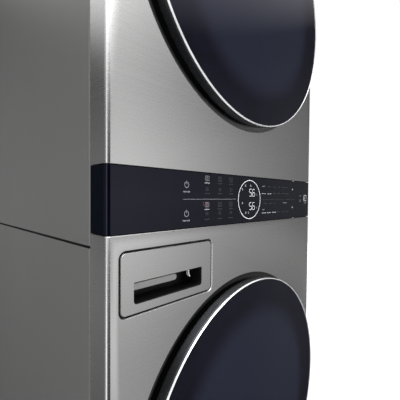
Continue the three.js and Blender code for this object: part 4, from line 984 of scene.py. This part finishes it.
DUCT = Box("exhaust_duct")
DUCT_R = 51
DUCT_X = DUCT.x1 - DUCT_R
DUCT_Z = 1030
DRAIN_X = 200
DRAIN_Z = 800
BACK_Y = Box("washer_cabinet").y1 + 1.5  # outside of the rear covers
WASHER_SERVICE = (90, 850)  # heights of the openings under the rear covers
DRYER_SERVICE = (975, 1845)
SEAL_Z = (951, 967)  # the seam between the cabinets
PAN_Z = (962, 974)
VALVE_FACE = 360
LOUVRE_PITCH = 22


def cabinets():
    washer, dryer = Box("washer_cabinet"), Box("dryer_cabinet")
    wrap("washer_side_wrap", "washer_cabinet", (washer.z0, washer.z1 - 1), WASHER_SERVICE)
    wrap("dryer_side_wrap", "dryer_cabinet", (dryer.z0 + 1.5, dryer.z1), DRYER_SERVICE)
    ring = block("stacking_seal", (-346, 346), (-296, 360), SEAL_Z)
    inside = block("inside", (-335, 335), (-285, 350), inset(SEAL_Z, -1))
    dress(carve(ring, inside), "black_rubber", edge=0.5)
    pan = block("dryer_floor_pan", inset(dryer.xs, 2), inset(dryer.ys, 2), PAN_Z)
    inside = block("inside", inset(dryer.xs, 3.2), inset(dryer.ys, 3.2), (PAN_Z[0] + 1.2, PAN_Z[1] + 2))
    dress(carve(pan, inside), "zinc_steel", edge=0.4)
    top = Box("top_cover")
    outline = rounded(top.x, top.y, 2 * top.half, top.y1 - top.y0, CORNER_R, 8)
    lid = prism("top_lid", outline, top.zs, "z")
    inside = block("inside", inset(top.xs, 3), inset(top.ys, 3), (top.z0 - 1, top.z1 - 3))
    dress(carve(lid, inside), "painted_steel", stands_for="top_cover", edge=2.4, segments=4)
    rear_covers()
    for corner in ("front_left", "front_right", "rear_left", "rear_right"):
        foot(corner)
    base = Box("base_frame")
    tray = block("base_tray", base.xs, base.ys, base.zs)
    inside = block("inside", inset(base.xs, 2), inset(base.ys, 2), (base.z0 + 2, base.z1 + 1))
    dress(carve(tray, inside), "zinc_steel", stands_for="base_frame", edge=0.6)


def thread(r, start, end, pitch):
    """Whole turns of a thread's profile between two levels, as points of (radius, level)."""
    points = []
    level = start
    while level + pitch <= end:
        points += [(r - 0.8, level), (r, level + pitch / 2)]
        level += pitch
    return points


def foot(corner):
    """A rubber pad on a threaded stud with its nut."""
    node = f"foot_{corner}"
    box = Box(node)
    sole = fillet([(0, 0), (23.5, 0, 1.5), (24, 8, 2.5), (8, 13, 2), (0, 13)])
    dress(lathe(node + "_pad", sole, 0, box.x, 48, "z", box.y), "black_rubber", stands_for=node)
    low, high = 13, box.z1
    stud = [(0, low), *thread(6, low, high, 1.75), (5.2, high), (0, high)]
    dress(lathe(node + "_stud", stud, 0, box.x, 32, "z", box.y), "zinc_steel")
    dress(prism(node + "_nut", circle(box.x, box.y, 10.5, 6), (17, 23), "z"), "zinc_steel", edge=0.6)


def louvres(name, lowest, rows):
    """Rows of pressed louvres standing out of a cover."""
    y = BACK_Y
    parts = []
    for x in range(-180, 141, 80):
        for z in range(lowest, lowest + rows * LOUVRE_PITCH, LOUVRE_PITCH):
            section = [(y - 0.2, z + 4), (y + 3.2, z - 3), (y + 2.4, z - 3.6), (y - 0.2, z + 1)]
            parts.append(prism("louvre", section, about(x, 24), "x"))
    dress(merged(name, *parts), "zinc_steel", edge=0.3)


def rear_covers():
    """Both rear covers with their screws, ribs, louvres, drain and terminal cover."""
    y = BACK_Y
    for prefix, hole in (
        ("washer", (12, DRAIN_X, DRAIN_Z, 48)),
        ("dryer", (DUCT_R + 2, DUCT_X, DUCT_Z, 64)),
    ):
        box = Box(prefix + "_rear_cover")
        hole_r, hole_x, hole_z, sides = hole
        outline = rounded(0, box.z, 2 * box.half, box.z1 - box.z0, 8)
        plate = prism(prefix + "_back", outline, (y - 1.2, y))
        plate = carve(plate, rod("hole", hole_r, (y - 4.2, y + 3), hole_x, hole_z, sides))
        dress(plate, "zinc_steel", stands_for=prefix + "_rear_cover", edge=0.4)
        levels = [box.z0 + 8 + (box.z1 - box.z0 - 16) * k / 4 for k in range(5)]
        places = [(x, z) for x in inset(box.xs, 7) for z in levels]
        places += [(box.x, levels[0]), (box.x, levels[-1])]
        screws(prefix + "_back_screws", places, y, "cabinet")
    ribs = [prism("rib", rounded(0, z, 480, 18, 9), (y - 0.5, y + 1.6)) for z in range(200, 681, 120)]
    dress(merged("washer_back_ribs", *ribs), "zinc_steel", edge=1.2, segments=3)
    louvres("dryer_back_louvres", 1240, 9)
    louvres("dryer_back_upper_louvres", 1620, 6)
    drain = fillet([
        (12, y - 1), (15, y - 1), (15, y + 12, 0.5),
        (16, y + 14, 0.5), (14.6, y + 18, 0.6), (12, y + 18, 0.5),
    ])
    dress(lathe("drain_stub", drain, DRAIN_Z, DRAIN_X, 64), "grey_plastic")
    terminal = prism("terminal_cover", rounded(-200, 1045, 100, 70, 6), (y - 0.5, y + 16))
    dress(terminal, "zinc_steel", edge=2.0, segments=3)
    screws("terminal_screws", [(-200, 1072), (-200, 1018)], y + 16, "cabinet", r=3.4)


def pipes():
    """The exhaust pipe with its neck, and the water valve with its two threaded inlets."""
    r, front, back = DUCT_R, DUCT.y0, DUCT.y1
    profile = fillet([
        (r, front, 1), (r, back - 34), (r + 0.01, back - 32), (r - 1.2, back - 30, 1.5), (r, back - 28),
        (r, back, 0.5), (r - 1.5, back, 0.5), (r - 1.5, front + 1.5), (0, front + 1.5), (0, front),
    ])
    pipe = lathe("exhaust_pipe", profile, DUCT_Z, DUCT_X, 96)
    dress(pipe, "zinc_steel", stands_for="exhaust_duct")
    neck = block("exhaust_neck", (DUCT.x0, DUCT_X - 40), (-250, -212), (1008, 1052))
    bore = block("bore", (DUCT.x0 - 1, DUCT_X), (-248.5, -213.5), (1009.5, 1050.5))
    dress(carve(neck, bore), "zinc_steel", edge=0.4)
    valve = Box("water_inlet_valve")
    z = valve.z
    body = block("water_valve_body", valve.xs, (valve.y0, VALVE_FACE), about(z, 20))
    dress(body, "white_plastic", stands_for="water_inlet_valve", edge=2.0)
    tip = valve.y1
    root = VALVE_FACE - 8
    turns = thread(13, VALVE_FACE + 2, tip - 0.2, 1.8)
    stub = [(12.2, root), *turns, (12.2, tip - 0.6), (11.6, tip), (9, tip), (9, root)]
    mark = fillet([(14.5, 365.6), (18, 365.6), (18, 366.6, 0.4), (14.5, 366.6, 0.4)])
    for name, x, look in (("hot", -95, "print_red"), ("cold", -45, "print_grey")):
        dress(lathe(f"{name}_water_stub", stub, z, x, 48), "white_plastic")
        dress(lathe(f"{name}_water_mark", mark, z, x, 48), look)


# ---- Drums and what is inside --------------------------------------------------------------------

def perforated(name, r, y, z, columns, rows, hole, thick):
    """A cylinder of sheet with rows of round holes, every other row shifted by half a step."""
    verts, faces = [], []
    du, dv = FULL / columns, (y[1] - y[0]) / rows
    corners = [(-1, -1), (0, -1), (1, -1), (1, 0), (1, 1), (0, 1), (-1, 1), (-1, 0)]
    for row in range(rows):
        for column in range(columns):
            u0 = (column + 0.5 * (row % 2)) * du
            v0 = y[0] + (row + 0.5) * dv
            first = len(verts)
            for cu, cv in corners:
                verts.append((u0 + cu * du / 2, v0 + cv * dv / 2))
            for cu, cv in corners:
                length = hypot(cu, cv)
                verts.append((u0 + cu / length * hole / r, v0 + cv / length * hole))
            for k in range(8):
                j = (k + 1) % 8
                faces.append((first + k, first + j, first + 8 + j, first + 8 + k))
    points = [(r * cos(u), v, z + r * sin(u)) for u, v in verts]
    sheet = add_mesh(name, points, faces)
    skin = sheet.modifiers.new("thickness", "SOLIDIFY")
    skin.thickness = thick * MM
    skin.offset = 0
    return sheet


def paddles(body, r_foot, height, half, length, turn, z, middle):
    """Three rounded lifters inside a drum, turned on from its bottom, their crests towards the axis."""
    crest = half * 0.45
    section = fillet([
        (-half, -r_foot), (-crest, height - r_foot, 10), (crest, height - r_foot, 10), (half, -r_foot),
    ], 8)
    for k in range(3):
        piece = prism(f"{body}_paddle_{k + 1}", section, about(middle, length))
        piece.data.transform(Matrix.Rotation(-k * FULL / 3 - turn, 4, "Y"))
        piece.data.transform(Matrix.Translation((0, 0, z * MM)))
        dress(piece, "stainless", body, edge=3.0, segments=4)


def drums():
    drum = Box("washer_drum")
    r, y0, y1 = drum.half, drum.y0 + 8, drum.y1
    wall = perforated("washer_drum_wall", r - 0.6, (y0 + 6, y1 - 6), WASHER_Z,
                      columns=96, rows=26, hole=2.4, thick=1.0)
    dress(wall, "stainless", "washer_drum", "washer_drum")
    back = lathe("washer_drum_back", fillet([
        (0, y1), (80, y1), (110, y1 - 10, 8), (150, y1 - 10, 8), (180, y1, 8), (r - 14, y1, 6),
        (r, y1 - 6.2, 5), (r, y1 - 7), (r - 1.2, y1 - 7), (r - 1.2, y1 - 7.5, 3), (r - 15, y1 - 1.5, 6),
        (181, y1 - 1.5, 8), (151, y1 - 11.5, 8), (109, y1 - 11.5, 8), (79, y1 - 1.5, 8), (0, y1 - 1.5),
    ]), WASHER_Z)
    dress(back, "stainless", "washer_drum")
    front = lathe("washer_drum_mouth", fillet([
        (r, y0 + 7), (r, y0 + 2, 5), (r - 16, y0, 6), (200, y0 - 6, 4), (192, y0 - 8, 1.5),
        (191, y0 - 5, 1.5), (200, y0 - 4), (r - 17, y0 + 1.6, 5), (r - 1.4, y0 + 4, 3), (r - 1.4, y0 + 7),
    ]), WASHER_Z)
    dress(front, "stainless", "washer_drum")
    paddles("washer_drum", r - 2, height=46, half=30, length=195, turn=0, z=WASHER_Z, middle=0)
    drum = Box("dryer_drum")
    r, y0, y1 = drum.half, drum.y0, drum.y1
    beads = []
    for k in range(12):
        y = y0 + 20 + (y1 - y0 - 40) * k / 11
        beads += [(r - 1, y - 4), (r - 2.2, y - 2), (r - 2.2, y + 2), (r - 1, y + 4)]
    inside = [(a - 0.2, b) for a, b in reversed(beads)]
    shell = [(r, y0), (r, y1), (r - 1.2, y1), *inside, (r - 1.2, y0)]
    dress(lathe("dryer_drum_shell", shell, DRYER_Z), "stainless", "dryer_drum", "dryer_drum")
    middle = (y0 + y1) / 2
    paddles("dryer_drum", r - 3, height=50, half=28, length=250, turn=FULL / 6, z=DRYER_Z, middle=middle)
    dryer_back(y1)


def dryer_back(drum_end):
    """The drum's fixed back wall: a pressed plate with its air holes, whose dark insides are painted shade
    on discs, and the heater box behind it.
    """
    face = drum_end + 4
    plate = lathe("dryer_back_wall", fillet([
        (0, face), (90, face), (100, face - 5, 4), (250, face - 5, 4), (262, face, 4), (303, face, 1),
        (303, 284, 1), (310, 284, 1), (310, face, 1), (335, face, 1), (335, face + 1), (0, face + 1),
    ]), DRYER_Z)
    dress(plate, "zinc_steel", stands_for="dryer_rear_bulkhead")
    holes = []
    for row in range(6):
        r, count = 120 + 20 * row, 30 + 6 * row
        for k in range(count):
            a = FULL * (k + 0.5 * (row % 2)) / count
            holes.append((r * cos(a), DRYER_Z + r * sin(a)))
    rim = [(3.4, face - 5.0), (5.2, face - 5.0), (4.2, face - 6.4)]
    rims = [lathe("hole", rim, z, x, 12) for x, z in holes]
    dress(merged("dryer_back_hole_rims", *rims), "zinc_steel")
    # Painted shade: dark discs under the rims stand in for the dark insides of the holes.
    hole_shades = [rod("disc", 3.5, (face - 5.35, face - 5.05), x, z, 12) for x, z in holes]
    dress(merged("dryer_back_hole_shade_discs", *hole_shades), "dark_plastic")
    heater = block("dryer_heater_box", (-190, 190), (face + 1.2, 348), about(DRYER_Z, 120))
    hollow = block("inside", (-188, 188), (face, 346), about(DRYER_Z, 118))
    dress(carve(heater, hollow), "zinc_steel", edge=1.5)


def suspension():
    """The tub's two coil springs, which stretch between the cabinet and the tub."""
    for side in ("left", "right"):
        node = f"suspension_spring_{side}"
        box = Box(node)
        turns, wire, r = 9, 2.6, 11
        low, high = box.z0 + wire, box.z1 - wire
        steps = turns * 24
        points = []
        for k in range(steps + 1):
            a, level = FULL * turns * k / steps, low + (high - low) * k / steps
            points.append((box.x + r * cos(a), box.y + r * sin(a), level))
        coil = tube(node + "_coil", points, wire * 0.85)
        dress(coil, "zinc_steel", body=None, stands_for=node)
        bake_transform(coil)


def lint_filter():
    """A frame with a finger notch, and a woven screen of wires in its window."""
    box = Box("lint_filter")
    shell = block("lint_screen_frame", box.xs, box.ys, box.zs)
    outline = rounded(0, (box.z0 + box.z1) / 2 - 7, 138, box.z1 - box.z0 - 26, 6)
    window = prism("window", outline, (box.y0 - 1, box.y1 + 1))
    notch = prism("notch", rounded(0, box.z1, 60, 24, 8), about(box.y, 5))
    dress(carve(shell, window, notch), "dark_plastic", "lint_filter", "lint_filter", edge=1.0)
    mesh = []
    for k in range(28):
        mesh.append(rod_z("wire", 0.4, (box.z0 + 6, box.z1 - 20), -68 + 136 * k / 27, box.y))
    for k in range(36):
        z = box.z0 + 7 + (box.z1 - box.z0 - 28) * k / 35
        mesh.append(rod_x("wire", 0.4, (-69, 69), box.y, z, 6))
    dress(merged("lint_screen_mesh", *mesh), "stainless", "lint_filter")


def insides():
    """CAD nodes whose shape is right get their material and rounded edges."""
    nodes = {
        "tub_front": ("white_plastic", 1.5),
        "tub_rear": ("white_plastic", 1.5),
        "counterweight": ("concrete", 3.0),
        "drum_bearing": ("stainless", 0.5),
        "motor_stator": ("motor_iron", 1.0),
        "motor_rotor": ("zinc_steel", 1.0),
        "drum_shaft": ("cast_aluminium", 1.0),
        "damper_rod_left": ("zinc_steel", 0.6),
        "damper_rod_right": ("zinc_steel", 0.6),
        "damper_cylinder_left": ("dark_plastic", 1.0),
        "damper_cylinder_right": ("dark_plastic", 1.0),
        "drum_belt": ("black_rubber", 0.4),
        "dryer_motor": ("cast_aluminium", 1.5),
        "blower_housing": ("white_plastic", 0.8),
        "blower_wheel": ("dark_plastic", 0.6),
        "idler_pulley": ("white_plastic", 0.8),
        "drum_roller_left": ("black_rubber", 1.5),
        "drum_roller_right": ("black_rubber", 1.5),
    }
    for node, (look, edge) in nodes.items():
        dress(frame["nodes"][node], look, body=None, edge=edge)


# ---- Room, light and camera ---------------------------------------------------------------------

CAMERA_X = -564.7
CAMERA_BEFORE = 396.6  # in front of the steel
CAMERA_ABOVE = 6  # above the control panel's middle
CAMERA_TURN = radians(46.137)  # from +Y towards +X
CAMERA_DOWN = radians(1.287)
CAMERA_ROLL = radians(-0.426)
CAMERA_LENS = 26.39
CAMERA_SENSOR = 36
CAMERA_SHIFT_X = 0.0006
CAMERA_SHIFT_Y = 0.0081


def camera():
    """A camera from its turn, its tilt down and its roll."""
    forward = Vector((sin(CAMERA_TURN), cos(CAMERA_TURN), 0))
    right = Vector((cos(CAMERA_TURN), -sin(CAMERA_TURN), 0))
    down = Vector((0, 0, -1))
    ahead = forward * cos(CAMERA_DOWN) + down * sin(CAMERA_DOWN)
    under = down * cos(CAMERA_DOWN) - forward * sin(CAMERA_DOWN)
    across = right * cos(CAMERA_ROLL) + under * sin(CAMERA_ROLL)
    lower = under * cos(CAMERA_ROLL) - right * sin(CAMERA_ROLL)
    data = bpy.data.cameras.new("camera")
    data.lens = CAMERA_LENS
    data.sensor_width = CAMERA_SENSOR
    data.shift_x = CAMERA_SHIFT_X
    data.shift_y = CAMERA_SHIFT_Y
    data.clip_start = 0.01
    eye = bpy.data.objects.new("camera", data)
    turn = Matrix((across, -lower, -ahead)).transposed().to_4x4()
    place = Vector((CAMERA_X, FRONT_Y - CAMERA_BEFORE, PANEL_Z + CAMERA_ABOVE)) * MM
    eye.matrix_world = Matrix.Translation(place) @ turn
    scene.collection.objects.link(eye)
    scene.camera = eye


# Brightness of the studio walls by direction, in degrees from -Y towards +X: a softbox to the left, dark
# ahead of the machine, and a wide softbox just to the right of that, which fades to the right.
WALLS = [
    (-180, 0.24), (-150, 0.27), (-120, 0.30), (-104, 0.4), (-84, 0.45), (-78, 2.2), (-55, 2.2),
    (-49, 0.3), (-36, 0.08), (-16, 0.02), (12, 0.01), (20, 1.30), (29, 1.36), (42, 0.86), (55, 0.50),
    (62, 0.42), (68, 0.28), (95, 0.14), (130, 0.24), (180, 0.24),
]
# The share of it by height, as the sine of the angle above the horizon.
HEIGHTS = [(-1.0, 0.3), (-0.6, 0.26), (-0.25, 0.74), (0.0, 1.05), (0.2, 0.80), (0.42, 0.36), (1.0, 0.3)]
# What the floor and the ceiling add, by the same height.
OVERHEAD = [(-1, 0.6), (-0.75, 0.6), (-0.6, 0), (0.47, 0), (0.6, 1.5), (1, 1.7)]
LAMP_SIZE = 4.0  # metres
LAMP_POWER = 190
LAMP_PLACE = (-0.8, -1.2, 4.2)
FLOOR_HALF = 6000
FLOOR_GLOW = 0.35


def ramp(tree, source, stops, low, high):
    """A brightness from stops of (place, brightness), whose places run from low to high."""
    node = add_node(tree, "ValToRGB", {0: source})
    elements = node.color_ramp.elements
    while len(elements) < len(stops):
        elements.new(0.5)
    for element, (place, value) in zip(elements, stops):
        element.position = (place - low) / (high - low)
        element.color = (value, value, value, 1)
    return node.outputs[0]


def studio():
    """Walls seen only in reflections and as light, a white backdrop, a lamp overhead and the floor."""
    world = bpy.data.worlds.new("studio")
    scene.world = world
    world.use_nodes = True
    tree = world.node_tree
    tree.nodes.clear()

    def combine(operation, first, second):
        return add_node(tree, "Math", {0: first, 1: second}, operation=operation).outputs[0]

    direction = add_node(tree, "TexCoord", {}).outputs["Generated"]
    x, y, z = add_node(tree, "SeparateXYZ", {0: direction}).outputs
    angle = combine("ARCTAN2", x, combine("MULTIPLY", y, -1.0))
    around = ramp(tree, combine("ADD", combine("DIVIDE", angle, FULL), 0.5), WALLS, -180, 180)
    height = combine("ADD", combine("MULTIPLY", z, 0.5), 0.5)
    walls = combine("MULTIPLY", around, ramp(tree, height, HEIGHTS, -1, 1))
    total = combine("ADD", walls, ramp(tree, height, OVERHEAD, -1, 1))
    seen = add_node(tree, "LightPath", {}).outputs["Is Camera Ray"]
    lit = add_node(tree, "Background", {"Strength": total}).outputs[0]
    plain = add_node(tree, "Background", {"Color": (1, 1, 1, 1)}).outputs[0]
    mix = add_node(tree, "MixShader", {0: seen, 1: lit, 2: plain}).outputs[0]
    add_node(tree, "OutputWorld", {0: mix})
    light = bpy.data.lights.new("overhead", "AREA")
    light.shape = "SQUARE"
    light.size = LAMP_SIZE
    light.energy = LAMP_POWER
    lamp = bpy.data.objects.new("overhead", light)
    lamp.location = LAMP_PLACE
    scene.collection.objects.link(lamp)
    floor = block("floor", (-FLOOR_HALF, FLOOR_HALF), (-FLOOR_HALF, FLOOR_HALF), (-20, -0.2))
    pale = Look("floor_finish", (0.9, 0.9, 0.9), 0.6, 0.0).grain(EVEN, 80.0, 0.02, 0.05, 0.02, 0.0002)
    floor.data.materials.append(pale.material)
    pale.set(Emission_Color=(1, 1, 1, 1), Emission_Strength=FLOOR_GLOW)
    floor.visible_glossy = False
    scene.view_settings.view_transform = "Standard"


camera()
studio()
fronts()
control_panel()
panel_marks()
door("washer", WASHER_Z, mouth_r=188, neck=178, bottom=146, depth=122)
door("dryer", DRYER_Z, mouth_r=198, neck=188, bottom=170, depth=32)
dishes()
gasket()
drawer()
pump()
cabinets()
pipes()
drums()
suspension()
lint_filter()
insides()
